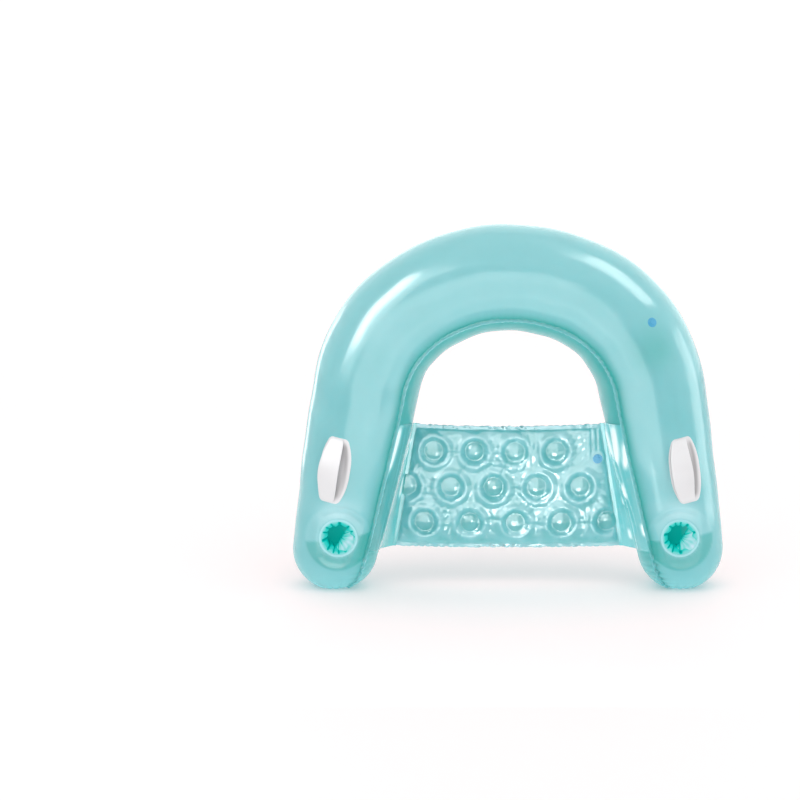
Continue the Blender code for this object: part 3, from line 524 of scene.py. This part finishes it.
# White moulded vinyl: a barrel-shaped plate welded flat on the arm, and a thicker strap welded to it
# at both ends and bowed between them, so that fingers go under it.

handle_length, handle_width, handle_end_width, barrel_power = 0.180, 0.089, 0.050, 2.6
handle_s, handle_turn = foot - 0.234, math.radians(20.0)
plate_thickness, strap_thickness, strap_lift = 0.0014, 0.0028, 0.027
strap_width, strap_end_width, strap_shift = 0.048, 0.038, -0.005
strap_sag = {-1.0: 0.0, 1.0: -0.012}
strap_length = handle_length - 2 * plate_thickness - strap_thickness

# moulded thick and satin, it is opaque; the plate's middle carries the strap's painted shadow, streaked grey
white_vinyl = vinyl_film("white_moulded_vinyl", ("#E8E7E8", "#DAD9DB", "#A09EA0"), gloss=0.5, glow=0.25)


def barrel_width(u, middle, end):
    """Width of the handle's outline at u, from -1 at one end to 1 at the other: full in the middle,
    narrower towards the ends by a power, and rounded off at the corners by a quarter circle."""
    body = end + (middle - end) * (1 - np.abs(u) ** barrel_power)
    corner = np.clip((np.abs(u) - 1) / 0.1 + 1, 0, 1)
    return body * (1 - 0.28 * (1 - np.sqrt(1 - corner**2)))


def bow(u):
    """The strap's lift off its plate as a share of the full one: a parabola eased at its two feet."""
    return np.clip(1 - (u / 0.97) ** 2, 0, 1) ** 1.4


def handle_plate(name, side, length, widths, shift, low, thickness, shade):
    """A rounded plate that follows the arm: rows along it, and a loop round its section, flat on both
    faces with half-round edges; the last rows close down to a line so that its ends are round too. Its
    middle is darker than its border by a painted shadow of the strap, in streaks, as strong as the shade."""
    u = np.sin(np.linspace(-math.pi / 2, math.pi / 2, 97))
    loop = full_turn(40)
    end = np.sqrt(np.clip((1 - np.abs(u)) * length / thickness, 0, 1))
    half = widths(u) / 2 - thickness / 2 * (1 - end)
    across = squarish(np.cos(loop), 0.35)
    height = np.sign(np.sin(loop)) * np.minimum(np.abs(np.sin(loop)) * 2.2, 1.0)
    edge = np.sqrt(1 - np.clip((np.abs(across) * half[:, None] - half[:, None]) / thickness + 1, 0, 1) ** 2)
    s = side * handle_s + u[:, None] * length / 2
    over = low(u)[:, None] + thickness / 2 * (1 + height * np.maximum(edge, 0.0) * end[:, None])
    angle = handle_turn + side * (shift(u)[:, None] + across * half[:, None]) / tube_radius(s)
    points = on_tube(s, angle, over)
    # painted shadow of the strap over the plate's middle, in streaks
    strap_shadow = shade * (1 - smooth_step(0.72, 0.97, np.abs(u)))[:, None]
    strap_shadow = strap_shadow * (1 - smooth_step(0.66, 0.92, np.abs(across)))
    strap_shadow = strap_shadow * (0.82 + 0.30 * np.sin(11 * across + 2.5 * u[:, None] + side))
    faces = grid_faces(*points.shape[:2], closed=True)
    return mesh_piece(name, points, faces, white_vinyl, slot="white_vinyl", tone=-strap_shadow)


for side_name, side in (("left", -1.0), ("right", 1.0)):
    plate = handle_plate(
        f"{side_name}_grip_plate",
        side,
        handle_length,
        lambda u: barrel_width(u, handle_width, handle_end_width),
        lambda u: 0 * u,
        lambda u: 0 * u + 1.5 * weld_gap,
        plate_thickness,
        shade=1.0,
    )
    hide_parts(f"{side_name}_handle_base")
    strap = handle_plate(
        f"{side_name}_grip_strap",
        side,
        strap_length,
        lambda u: barrel_width(u, strap_width, strap_end_width),
        lambda u: strap_shift + strap_sag[side] * (1 - np.abs(u) ** barrel_power),
        lambda u: 2.5 * weld_gap + plate_thickness + strap_lift * bow(u),
        strap_thickness,
        shade=0.0,
    )
    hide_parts(f"{side_name}_handle_strap")

# The seat pad

# A separate air chamber between the arms: two films of clear tinted vinyl, welded round the edge and
# at fourteen round spots. The air pulls the film tight between the welds, each spot keeps a small
# dome of trapped air, and the film gathers in fine creases round the spots and along the edge.

seat_top, seat_height, seat_edge = 0.440, 0.332, 0.012
seat_bottom = seat_top - seat_height
seat_middle_y = 0.010 + setback
seat_clear_low, seat_clear_high = 0.036, 0.006
lattice_columns, lattice_rows = 14, 8
seat_bulge, seat_edge_round = 0.022, 0.030
spot_radius, spot_round, ridge_fall = 0.0255, 0.0200, 0.36
dome_radius, dome_height = 0.0290, 0.0092
pillow_height, seat_film, weld_half_height = 0.013, 0.0005, 0.0006
corner_pull, edge_sag = 0.008, 0.006
front_seed, rear_seed = 21, 22


def inner_face(z):
    """How far from the middle plane an arm's inner face is, level with its centreline at z."""
    s = at_height(z)
    return spine(s)[..., 0] - tube_radius(s) / math.sin(arm_heading)


def seat_half_width(z):
    """The pad's half width at z, on a straight line between its clearances from the arms."""
    low = inner_face(seat_bottom) - seat_clear_low
    high = inner_face(seat_top) - seat_clear_high
    return low + (high - low) * (z - seat_bottom) / seat_height


def seat_cell(column, row):
    """Place in the pad's plane of a lattice corner, counted each way from its centre."""
    z = seat_top - seat_height / 2 + row * (seat_height / 2 - seat_edge) / lattice_rows
    return column / lattice_columns * (seat_half_width(z) - seat_edge), z


# three lines of five welded spots, staggered, with the valve in the place of the upper right one
seat_spots = [
    seat_cell((place - 2) * 6 + (1 if line % 2 == 0 else -2), (line - 1) * 5)
    for line in range(3)
    for place in range(5)
    if not (line == 2 and place == 4)
]
seat_valve_x, seat_valve_z = seat_cell(13, 4)


def edge_hang(u, v):
    """How far the pad's upper corners are pulled up by the flaps, and its lower edge sags between them,
    at the shares u across and v up, each from -1 to 1."""
    outer = np.abs(u) ** 2.5
    return (corner_pull * (1 + v) * outer - edge_sag * (1 - v) * (1 - outer)) / 2


def quarter_round(distance, reach):
    """A rise from 0 at the weld to 1 at the reach, as a quarter of a circle."""
    return np.sqrt(1 - (1 - np.clip(distance / reach, 0, 1)) ** 2)


def pad_height(x, z, film_seed):
    """How far a film of the pad stands off the middle plane. From each spot's round weld it rises by a
    quarter sine to a round ridge and falls off behind it; a product of quarter circles closes it at the
    edges. Each ridge has its own height and tilt, fading into its neighbours'. Creases run from spot
    to spot and out of each spot like spokes, pleats hang from the corner by the valve, ridged waves
    crumple the rest, and a leaning dome of trapped air fills each spot. The front film has a flat
    cushion under the valve."""
    chance = np.random.default_rng(film_seed)
    from_side = seat_half_width(z) - seat_edge - np.abs(x)
    from_end = seat_height / 2 - seat_edge - np.abs(z - seat_bottom - seat_height / 2)
    edges = quarter_round(from_side, seat_edge_round) * quarter_round(from_end, seat_edge_round)
    spots = np.array(seat_spots)
    run_x, run_z = x[None] - spots[:, 0, None, None], z[None] - spots[:, 1, None, None]
    away, angle = np.hypot(run_x, run_z), np.arctan2(run_z, run_x)
    own = chance.uniform((0.76, -4.5, -4.5), (1.10, 4.5, 4.5), (len(spots), 3))[:, :, None, None]
    nearby = bell(away, 0.034)
    uneven = (nearby * (own[:, 0] + own[:, 1] * run_x + own[:, 2] * run_z)).sum(axis=0) + 0.02
    uneven = uneven / (nearby.sum(axis=0) + 0.02)
    nearest = away.min(axis=0)
    ridge = np.sin(math.pi / 2 * np.clip((nearest - spot_radius) / spot_round, 0, 1)) ** 0.85
    ridge = ridge * (1 - ridge_fall * smooth_step(0.036, 0.060, nearest))
    height = seat_bulge * edges * ridge * np.clip(uneven, 0.7, 1.1)

    # the spots: domes that lean, and gathers that are strong round some and faint round others
    dome, spokes = np.zeros_like(height), np.zeros_like(height)
    for i in range(len(spots)):
        lean_x, lean_z, puff, spread = chance.uniform((-0.3, -0.3, 0.6, 0.86), (0.3, 0.3, 1.25, 1.1))
        lean = 1 + (lean_x * run_x[i] + lean_z * run_z[i]) / dome_radius
        share = away[i] / (dome_radius * spread)
        dome += dome_height * puff * lean * np.clip(1 - share**2.2, 0, 1) ** 0.85
        count, start, skew, pull = chance.uniform((11, 0, 0, 0.15), (19, 6.3, 6.3, 1.0))
        window = bell(away[i] - spot_radius - 0.008, 0.008)
        window = pull**2 * window * (0.2 + 0.8 * (0.5 + 0.5 * np.sin(angle[i] + skew)) ** 2)
        spokes += 0.0034 * window * pinches(round(count) * angle[i] / 2 + start + 30 * away[i])

    folds, crease_reach = np.zeros_like(height), 0.125
    for i in range(len(spots)):
        for j in range(i):
            run = spots[i] - spots[j]
            length = np.linalg.norm(run)
            if length < crease_reach:
                t = np.clip((run_x[j] * run[0] + run_z[j] * run[1]) / length**2, 0, 1)
                off = (run_x[j] * run[1] - run_z[j] * run[0]) / length
                off = off + chance.uniform(-0.010, 0.010) * np.sin(math.pi * t)
                depth = max(chance.uniform(-0.0015, 0.0032), 0.0)
                folds += depth * bell(off, 0.0050) * np.sin(math.pi * t) ** 0.7
    rough = np.zeros_like(height)
    for _wave in range(9):
        least, most = (0, 0.012, 0, 0.03, 0.03), (3.14, 0.034, 6.3, 0.06, 0.06)
        turn, pitch, phase, wide, tall = chance.uniform(least, most)
        level = (x * math.cos(turn) + z * math.sin(turn)) / pitch
        sweep = np.sin(x / wide + phase) * np.sin(z / tall + 2 * phase)
        rough += 0.0016 * np.clip(sweep, 0, 1) ** 2 * pinches(level * math.pi + phase)
    corner = smooth_step(0.205, 0.235, x) * smooth_step(0.335, 0.365, z)
    hang = 0.0050 * corner * pinches(math.pi * x / 0.015 + 8 * z)
    free = np.clip(height / 0.010, 0, 1)
    height = height - free * (folds + rough + hang) - spokes * np.clip(height / 0.004, 0, 1) + dome
    near = 1 - smooth_step(0.015, 0.024, np.hypot(x - seat_valve_x, z - seat_valve_z))
    return height + near * (pillow_height - height) * (film_seed == front_seed)


def seat_pad(name, material):
    """Both films as one closed skin: a grid in the pad's plane, once in front and once behind, merged at
    the outer edge. The edge weld is a thin flange that waves in and out and along its cut."""
    v = np.linspace(-1, 1, 151)
    v = v - 0.035 * np.sin(2 * math.pi * v) / math.pi
    u = np.linspace(-1, 1, 241)
    u = u - 0.035 * np.sin(2 * math.pi * u) / math.pi
    v, u = np.meshgrid(v, u, indexing="ij")
    z = seat_bottom + seat_height * (v + 1) / 2
    half = seat_half_width(z)
    x = u * half
    edge_x = smooth_step(seat_edge * 1.6, 0.0, half - np.abs(x))
    edge_z = smooth_step(seat_edge * 1.6, 0.0, seat_height / 2 - np.abs(z - seat_bottom - seat_height / 2))
    ragged = np.sin(x / 0.0071 + 2.6 * np.sin(x / 0.029) + v) * (0.6 + 0.4 * np.sin(x / 0.041 + 2 * v))
    ragged_side = np.sin(z / 0.0038 + 2.0 * np.sin(z / 0.023))
    waved = 0.0026 * ragged * edge_z * (1 - edge_x) + 0.0003 * ragged_side * edge_x
    nicks = 0.0032 * creases(x + 0.7 * v, 0.019, 8) + 0.0034 * creases(x + 1.3 * v, 0.047, 9)
    z_cut = z + edge_hang(u, v) - np.sign(v) * edge_z * nicks
    surfaces, tones = [], []
    for film_side, seed in ((-1.0, front_seed), (1.0, rear_seed)):
        lift = weld_half_height + pad_height(x, z, seed)
        # a tinted film is deeper where it is steep, which stands for the longer path through it seen aslant
        # and also paints shade into the grooves round the spots; deeper at the spots, where two films lie
        # together, with a painted highlight on the ridge round each; slow patches of paler and deeper tone
        # that paint in the uneven light; paler along its top and bottom welds and deeper along its side ones
        rise_z = np.gradient(lift, axis=0) / np.gradient(z, axis=0)
        rise_x = np.gradient(lift, axis=1) / np.gradient(x, axis=1)
        steep = np.clip(np.hypot(rise_z, rise_x), 0, 1.4)
        nearest = np.min([np.hypot(x - spot[0], z - spot[1]) for spot in seat_spots], axis=0)
        # deeper at the spots and in their grooves as painted shade, with a painted highlight on each ridge
        spot_tone_and_highlight = 0.20 * bell(nearest - 0.041, 0.009) - 0.28 * smooth_step(0.029, 0.022, nearest)
        patches = np.sin(x / 0.017 + 2 * np.sin(z / 0.021))
        patches = patches * np.sin(z / 0.014 + 2 * np.sin(x / 0.026) + seed)
        tones.append(-0.02 - 0.12 * steep + 0.24 * patches + spot_tone_and_highlight + 0.7 * edge_z - 0.4 * edge_x)
        border = (np.abs(u) > 0.9999) | (np.abs(v) > 0.9999)
        y = seat_middle_y + waved + film_side * np.where(border, 0.0, lift)
        surfaces.append(np.stack([x, y, z_cut], axis=-1))
    rows, columns = x.shape
    front, rear = (surface.reshape(-1, 3) for surface in surfaces)
    valve = np.array([seat_valve_x, seat_middle_y - pillow_height, seat_valve_z])
    front, front_faces = open_hole(front, grid_faces(rows, columns, flip=True), valve, forward, valve_hole)
    points = np.concatenate([front, rear])
    faces = np.concatenate([front_faces, grid_faces(rows, columns) + len(front)])
    return mesh_piece(name, points, faces, material, slot="clear_aqua_vinyl", tone=np.stack(tones))


# clear, lightly tinted and cast without a grain, it shines as if wet
pad_vinyl = vinyl_film(
    "clear_tinted_pvc_film",
    ("#AEDAE0", "#74BFC4", "#42AAA7"),
    gloss=0.10,
    glow=1.0,
    grain=0.00003,
    coat=1.0,
    coat_ior=1.45,
)
pad = seat_pad("seat_pad", pad_vinyl)
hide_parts("seat_front_film", "seat_rear_film")

# The flaps

# Strips of the pad's clear film, 0.5 mm thick, that carry it: each is lapped on the back of the
# tube's inner seam flange, runs round the arm's inner face, and is lapped on the pad's side weld.
# The pull of the pad draws it into long pleats.

flap_film, flap_top, flap_bottom, flap_standoff = 0.0005, 0.462, 0.128, 0.0028
flap_peak, seam_lap_root, pad_lap, pad_lap_behind = 0.020, 0.0033, 0.009, 0.0011
pleat_width, pleat_rise, fold_rise = 0.0125, 0.0022, 0.0044
# each side's larger folds: share across the flap, its drift up the fold, middle and half length of its
# run, half width and strength
flap_folds = {
    -1.0: [
        (0.08, 0.25, 0.82, 0.16, 0.08, 1.6),
        (0.84, 1.2, 0.80, 0.07, 0.06, 1.3),
        (0.88, 0.0, 0.49, 0.09, 0.05, 1.2),
    ],
    1.0: [
        (0.82, 0.2, 0.86, 0.10, 0.07, 1.5),
        (0.58, 0.4, 0.87, 0.09, 0.07, 1.6),
        (0.34, -0.5, 0.86, 0.12, 0.08, 1.6),
        (0.12, -0.6, 0.79, 0.09, 0.07, 1.4),
        (0.04, 0.0, 0.50, 0.45, 0.03, 0.6),
        (0.42, 0.3, 0.50, 0.06, 0.06, 1.2),
        (0.66, 0.0, 0.40, 0.03, 0.05, 1.0),
        (0.07, 0.0, 0.18, 0.05, 0.07, 1.2),
        (0.72, 0.0, 0.12, 0.04, 0.04, 0.9),
    ],
}


def flap_points(side):
    """The flap as a grid, with its veil and its share of pale: rows up its length, peaking towards the
    seam at the top, and columns from the seam flange's tip to its root, round the arm's inner face at a
    standoff, then straight to the pad's side weld. Fine pleats run along its length, ridges from a sine
    whose strength comes and goes, and larger folds stand out where they are listed. All of them fade
    out at both welds. The pale is a painted highlight on the pleats and folds, and the film turns opaque
    on it; the veil is clearer on the left flap than the right and thickens towards the pad's weld."""
    share = np.linspace(0, 1, 110)
    peak = flap_peak * smooth_step(0.80, 1.0, share)
    s = side * at_height(flap_bottom + share * (flap_top - flap_bottom) + peak)
    seat_z = seat_bottom + share * seat_height
    _, to_seam, to_film, _ = directions(side, heading(s))
    centre, radius = spine(s), tube_radius(s)
    under = -(weld_gap / 2 + film + weld_gap)
    stops = [
        centre + (radius + reach)[:, None] * to_seam + under * to_film
        for reach in (seam_flange, seam_lap_root)
    ]
    for angle in np.linspace(math.radians(4.0), math.pi / 2 - seam_roll - math.radians(8.0), 7):
        outward = math.cos(angle) * to_seam - math.sin(angle) * to_film
        stops.append(centre + (radius + flap_standoff)[:, None] * outward)
    for inset in (0.0, pad_lap):
        x = side * (seat_half_width(seat_z) - inset)
        hung = seat_z + edge_hang(1.0, 2 * share - 1)
        stops.append(np.stack([x, np.full_like(x, seat_middle_y - pad_lap_behind), hung], axis=-1))
    stops = np.stack(stops, axis=1)
    steps = np.linalg.norm(np.diff(stops, axis=1), axis=-1).mean(axis=0)
    stations = np.concatenate([[0], np.cumsum(steps)])
    fine = np.linspace(0, stations[-1], 58)
    place = np.searchsorted(stations, fine[1:-1], side="right") - 1
    place = np.concatenate([[0], place, [len(stations) - 2]])
    part = ((fine - stations[place]) / steps[place])[None, :, None]
    points = stops[:, place] * (1 - part) + stops[:, place + 1] * part
    normal = np.cross(np.gradient(points, axis=0), np.gradient(points, axis=1))
    normal = normal / np.linalg.norm(normal, axis=-1, keepdims=True)
    free = np.sin(math.pi * smooth_step(0.010, stations[-1] - 0.008, fine))[None, :]
    run = share[:, None]
    level = fine[None, :] / pleat_width + 0.75 * np.sin(3.1 * run + side) + 0.35 * np.sin(7 * run)
    ridge = pinches(math.pi * level / 2) ** 1.5
    strength = np.clip(0.25 + 0.85 * np.sin(run * 5.3 + 2.3 * np.floor(level / 2) + side), 0, 1)
    strength = 0.7 * strength * (0.75 + 0.25 * side)
    folds = np.zeros_like(ridge)
    for share_at, drift, middle, half_length, half_width, height in flap_folds[side]:
        off = fine[None, :] / stations[-1] - share_at - drift * (run - middle)
        folds += height * bell(off, half_width) * np.exp(-(((run - middle) / half_length) ** 4))
    lift = free * (pleat_rise * ridge * strength + fold_rise * folds - 0.0006)
    # painted highlight on the pleat ridges and the larger folds
    pale = np.clip(free * ridge * strength + folds, 0, 1)
    across = smooth_step(stations[-1] - 0.045, stations[-1] - 0.012, fine)[None, :]
    veil = 0.60 + 0.15 * side + (0.30 - 0.15 * side) * across
    return points + lift[..., None] * normal, veil + (1 - veil) * pale, pale


# the clearest film, drawn tight: it shows what is behind it, takes painted highlights on its creases, and an
# emission paints a faint glow in it
flap_vinyl = vinyl_film(
    "clear_flap_pvc_film",
    ("#ECF8F9", "#6CC4C8", "#3DABA9"),
    gloss=0.07,
    glow=1.0,
    lit=0.20,
    veiled=True,
    grain=0.00003,
    coat=1.0,
    coat_ior=1.75,
)
for side_name, side in (("left", -1.0), ("right", 1.0)):
    points, veil, pale = flap_points(side)
    flap = mesh_piece(
        f"{side_name}_flap",
        points,
        grid_faces(*points.shape[:2], flip=side > 0),
        flap_vinyl,
        slot="clear_aqua_vinyl",
        wall=flap_film,
        # painted highlights on the pleats, and painted shade over the whole left flap
        tone=(1.15 - 0.15 * side) * pale - 0.2 + 0.2 * side,
        veil=veil,
    )
    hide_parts(f"seat_{side_name}_flap")

# The valves

# Sunk valves of soft blue moulded vinyl, one in each chamber: a flange welded round a collar, a stem
# that slides in the collar, a stopper on a short tether, and a one-way flap under the stem.

# radii from the valve's way out, and heights along it over the film
collar_bore, collar_radius, collar_low = 0.0063, 0.0080, -0.0080
flange_radius, flange_top_radius, flange_low, flange_top = 0.0130, 0.0125, 0.0003, 0.0013
stem_bore, stem_radius, stem_foot_radius, lip_radius = 0.0032, 0.0060, 0.0075, 0.0088
stem_low, stem_foot_top, lip_low, lip_top = -0.0157, -0.0143, 0.0016, 0.0026
pin_radius, pin_root_radius, pin_low = 0.0019, 0.0026, -0.0022
cap_radius, cap_top_radius, cap_low, cap_top = 0.0066, 0.0061, 0.0029, 0.0043
check_radius, check_low, check_top = 0.0046, -0.0165, -0.0160
lip_tab_start, tether_start, hinge_at, tether_top, tab_half_width = 0.0078, 0.0052, 0.0104, 0.0036, 0.0025
edge_ease, check_ease = 0.00035, 0.0001

# moulded thick in a soft, strongly dyed vinyl, it is nearly opaque, with a satin shine
valve_vinyl = vinyl_film("blue_moulded_vinyl", ("#9AD2EA", "#3AA0C8", "#1F7FA8"), gloss=0.22, glow=0.3)


def eased_profile(corners, easing, steps=5):
    """A closed outline of radius and height with each corner off the axis rounded: the corner gives way
    to points on a curve between its two neighbours' directions."""
    corners = np.array(corners, float)
    before, after = np.roll(corners, 1, axis=0) - corners, np.roll(corners, -1, axis=0) - corners
    outline = []
    for corner, back, on in zip(corners, before, after):
        lengths = np.linalg.norm(back), np.linalg.norm(on)
        if corner[0] < 1e-9:
            outline.append(corner)
            continue
        cut = min(easing, 0.45 * min(lengths))
        start, end = corner + back / lengths[0] * cut, corner + on / lengths[1] * cut
        for t in np.linspace(0, 1, steps):
            outline.append((1 - t) ** 2 * start + 2 * t * (1 - t) * corner + t**2 * end)
    return np.array(outline)


def turned_solid(corners, easing):
    """Points and faces of a solid of revolution about the valve's way out, from its outline's corners."""
    outline = eased_profile(corners, easing)
    outline = np.concatenate([outline, outline[:1]])
    angle = full_turn(72)
    radius, height = outline[:, :1], outline[:, 1:]
    points = np.stack([radius * np.cos(angle), radius * np.sin(angle), height + 0 * angle], axis=-1)
    return points.reshape(-1, 3), grid_faces(*points.shape[:2], closed=True, flip=True)


def tab_bar(start, low, high):
    """Points and faces of a flat bar from the start to the hinge, between two heights: a rounded box
    section from a squarish sine and cosine, closed to a point at both ends."""
    loop = full_turn(20)
    along = np.linspace(start, hinge_at, 8)[:, None]
    along = np.concatenate([along[:1], along, along[-1:]])
    full = np.array([0.0] + [1.0] * 8 + [0.0])[:, None]
    wide = tab_half_width * full * squarish(np.cos(loop), 0.5)
    tall = full * (high - low) / 2 * squarish(np.sin(loop), 0.5)
    points = np.stack([along + 0 * loop, wide, (low + high) / 2 + tall], axis=-1)
    return points.reshape(-1, 3), grid_faces(*points.shape[:2], closed=True)


def valve_pieces(chamber):
    """Each piece's name, CAD node, body, outline, corner easing and flat tab, if it has one."""
    flange = [
        (collar_bore, collar_low),
        (collar_radius, collar_low),
        (collar_radius, flange_low),
        (flange_radius, flange_low),
        (flange_top_radius, flange_top),
        (collar_bore, flange_top),
    ]
    stem = [
        (stem_bore, stem_low),
        (stem_foot_radius, stem_low),
        (stem_foot_radius, stem_foot_top),
        (stem_radius, stem_foot_top),
        (stem_radius, lip_low),
        (lip_radius, lip_low),
        (lip_radius, lip_top),
        (stem_bore, lip_top),
    ]
    stopper = [
        (0.0, pin_low),
        (pin_radius, pin_low),
        (pin_root_radius, cap_low),
        (cap_radius, cap_low),
        (cap_top_radius, cap_top),
        (0.0, cap_top),
    ]
    check = [(0.0, check_low), (check_radius, check_low), (check_radius, check_top), (0.0, check_top)]
    lip_tab, tether = (lip_tab_start, lip_low, lip_top), (tether_start, cap_low, tether_top)
    return (
        ("ring", "flange", "float", flange, edge_ease, None),
        ("pipe", "stem", f"{chamber}_stem", stem, edge_ease, lip_tab),
        ("stopper", "plug", f"{chamber}_stopper", stopper, edge_ease, tether),
        ("check", "check_flap", f"{chamber}_check", check, check_ease, None),
    )


seat_valve_y = seat_middle_y - pillow_height - seat_film - weld_gap / 2
seat_valve_origin = np.array([seat_valve_x, seat_valve_y, seat_valve_z])
for chamber, origin, outward in (
    ("tube", tube_valve_origin, tube_valve_outward),
    ("seat", seat_valve_origin, forward),
):
    uphill = np.array([0.0, 0.0, 1.0]) - outward * outward[2]
    uphill = uphill / np.linalg.norm(uphill)
    axes = np.array([uphill, np.cross(outward, uphill), outward])
    for piece_name, node, body, corners, easing, tab in valve_pieces(chamber):
        local, faces = turned_solid(corners, easing)
        if tab:
            tab_points, tab_faces = tab_bar(*tab)
            faces = np.concatenate([faces, tab_faces + len(local)])
            local = np.concatenate([local, tab_points])
        piece = mesh_piece(
            f"{chamber}_valve_{piece_name}",
            origin + local @ axes,
            faces,
            valve_vinyl,
            body=body,
            slot="blue_valve_vinyl",
            tone=np.zeros(len(local)),
        )
        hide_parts(f"{chamber}_valve_{node}")

# The studio

# A white room, a pale floor, and a long lens at the photograph's angle. A soft sun gives the shadows,
# and the strips and panels only show in the vinyl's gloss, as a studio's softboxes do.

# strength of the room's light from below and from above, and what it adds in the gloss
low_glow, high_glow, gloss_glow = 1.34, 0.89, 1.0
floor_colour = "#FBEDED"
elevation, view_width, lens, sensor = math.radians(10.0), 2.16, 150.0, 36.0
aim = np.array([-0.2936, 0.0, 0.514])

bpy.context.scene.view_settings.view_transform = "Standard"
world = bpy.data.worlds.new("white_room")
bpy.context.scene.world = world
world.use_nodes = True
world.node_tree.nodes["Background"].inputs["Color"].default_value = (1.0, 1.0, 1.0, 1.0)
way = add_node(world, "ShaderNodeTexCoord").outputs["Generated"]
height = add_node(world, "ShaderNodeSeparateXYZ", {}, {"Vector": way}).outputs["Z"]
strength = add_node(
    world,
    "ShaderNodeMapRange",
    {},
    {"Value": height, "From Min": -0.30, "From Max": 0.05, "To Min": low_glow, "To Max": high_glow},
)
in_gloss = add_node(world, "ShaderNodeLightPath").outputs["Is Glossy Ray"]
strength = add_node(
    world,
    "ShaderNodeMath",
    {"operation": "MULTIPLY_ADD"},
    {0: in_gloss, 1: gloss_glow, 2: strength.outputs[0]},
)
world.node_tree.links.new(strength.outputs[0], world.node_tree.nodes["Background"].inputs["Strength"])

# painted matt, it takes soft shadows and mirrors nothing
floor_material = bpy.data.materials.new("matt_white_floor")
floor_material.use_nodes = True
floor_shader = floor_material.node_tree.nodes["Principled BSDF"]
floor_shader.inputs["Base Color"].default_value = to_linear(floor_colour)
floor_shader.inputs["Roughness"].default_value = 0.7
reach = np.array([0.0, 3.0, 60.0])[:, None]
angle = full_turn(64)
disc = np.stack([reach * np.cos(angle), reach * np.sin(angle), 0 * reach * angle], axis=-1)
floor_mesh = bpy.data.meshes.new("floor")
floor_mesh.from_pydata(disc.reshape(-1, 3).tolist(), [], grid_faces(*disc.shape[:2], closed=True).tolist())
floor_mesh.materials.append(floor_material)
floor = bpy.data.objects.new("floor", floor_mesh)
bpy.context.scene.collection.objects.link(floor)
# it catches shadows, but throws no light back on the film
floor.visible_diffuse = False

back = np.array([0.0, -math.cos(elevation), math.sin(elevation)])
right, up = np.array([1.0, 0.0, 0.0]), np.array([0.0, math.sin(elevation), math.cos(elevation)])
camera_data = bpy.data.cameras.new("camera")
camera_data.lens, camera_data.sensor_width = lens, sensor
camera_data.clip_start, camera_data.clip_end = 0.1, 200.0
camera = bpy.data.objects.new("camera", camera_data)
camera.location = (aim + back * view_width * lens / sensor).tolist()
camera.rotation_euler = (math.pi / 2 - elevation, 0.0, 0.0)
bpy.context.scene.collection.objects.link(camera)
bpy.context.scene.camera = camera


def gloss_light(name, middle, width_way, length_way, radiance, spread=180.0):
    """A rectangular light that shows in gloss alone. The two ways are its full sides as vectors, and it
    shines towards the float's middle, within a spread in degrees."""
    sides = np.linalg.norm(width_way), np.linalg.norm(length_way)
    x, y = width_way / sides[0], length_way / sides[1]
    y = y - x * (x @ y)
    z = np.cross(x, y / np.linalg.norm(y))
    turn = 1.0 if (np.array([0.0, 0.0, 0.5]) - middle) @ z < 0 else -1.0
    data = bpy.data.lights.new(name, "AREA")
    data.shape, data.size, data.size_y = "RECTANGLE", float(sides[0]), float(sides[1])
    data.energy = radiance * math.pi * float(sides[0] * sides[1])
    data.spread = math.radians(spread)
    light = bpy.data.objects.new(name, data)
    light.matrix_world = Matrix(np.array([turn * x, y / np.linalg.norm(y), turn * z]).T.tolist()).to_4x4()
    light.location = middle.tolist()
    light.visible_diffuse = light.visible_transmission = light.visible_camera = False
    bpy.context.scene.collection.objects.link(light)


# strips mirrored in the shoulders, each between two ways out from the place where it shows, given in
# the camera's right, up and back directions: on the left a hard one with a soft one round it, and on
# the right a dim broad one
room = np.array([right, up, back])
for name, seen_at, first, last, width, radiance in (
    ("left_strip", (-0.357, -0.103, 0.793), (-0.84, 0.0, 0.55), (-0.41, 0.78, 0.48), 1.0, 13.0),
    ("left_glow", (-0.357, -0.103, 0.793), (-0.80, -0.10, 0.62), (-0.36, 0.72, 0.62), 1.7, 4.4),
    ("right_strip", (0.265, -0.097, 0.873), (0.36, 0.90, 0.21), (0.86, 0.46, 0.25), 1.35, 7.0),
):
    first, last = np.array(first) @ room, np.array(last) @ room
    out = (first + last) / np.linalg.norm(first + last)
    length_way = 3.0 * (last - first)
    width_way = np.cross(out, length_way)
    width_way = width * width_way / np.linalg.norm(width_way)
    gloss_light(name, np.array(seen_at) + 3.0 * out, width_way, length_way, radiance)
# a panel standing low in front and another lying before it make the pale band round the tube's inside,
# a small tilted one of narrow spread makes the pad's sparks, and two more edge the float's sides
low_tilt = math.radians(25)
for name, middle, width_way, length_way, radiance, spread in (
    ("front_panel", (-0.33, -1.25, 0.65), (1.55, 0, 0), (0, 0, 1.28), 2.6, 180.0),
    ("floor_panel", (0.0, -0.95, 0.01), (2.6, 0, 0), (0, 0.9, 0), 2.0, 180.0),
    (
        "low_panel",
        (0.08, -0.50, 0.09),
        (0.24, 0, 0),
        (0.0, -0.18 * math.sin(low_tilt), 0.18 * math.cos(low_tilt)),
        1.8,
        70.0,
    ),
    ("right_panel", (2.3, 0.25, 0.6), (0, 1.0, 0), (0, 0, 1.4), 3.0, 180.0),
    ("rear_panel", (-2.0, 2.0, 0.7), (0.4, 0.4, 0), (0, 0, 1.4), 3.0, 180.0),
):
    gloss_light(name, np.array(middle), np.array(width_way), np.array(length_way), radiance, spread)
sun = bpy.data.objects.new("soft_sun", bpy.data.lights.new("soft_sun", "SUN"))
sun.data.energy, sun.data.angle = 0.65, math.radians(75)
sun.rotation_euler = (math.radians(22), math.radians(8), 0.0)
bpy.context.scene.collection.objects.link(sun)
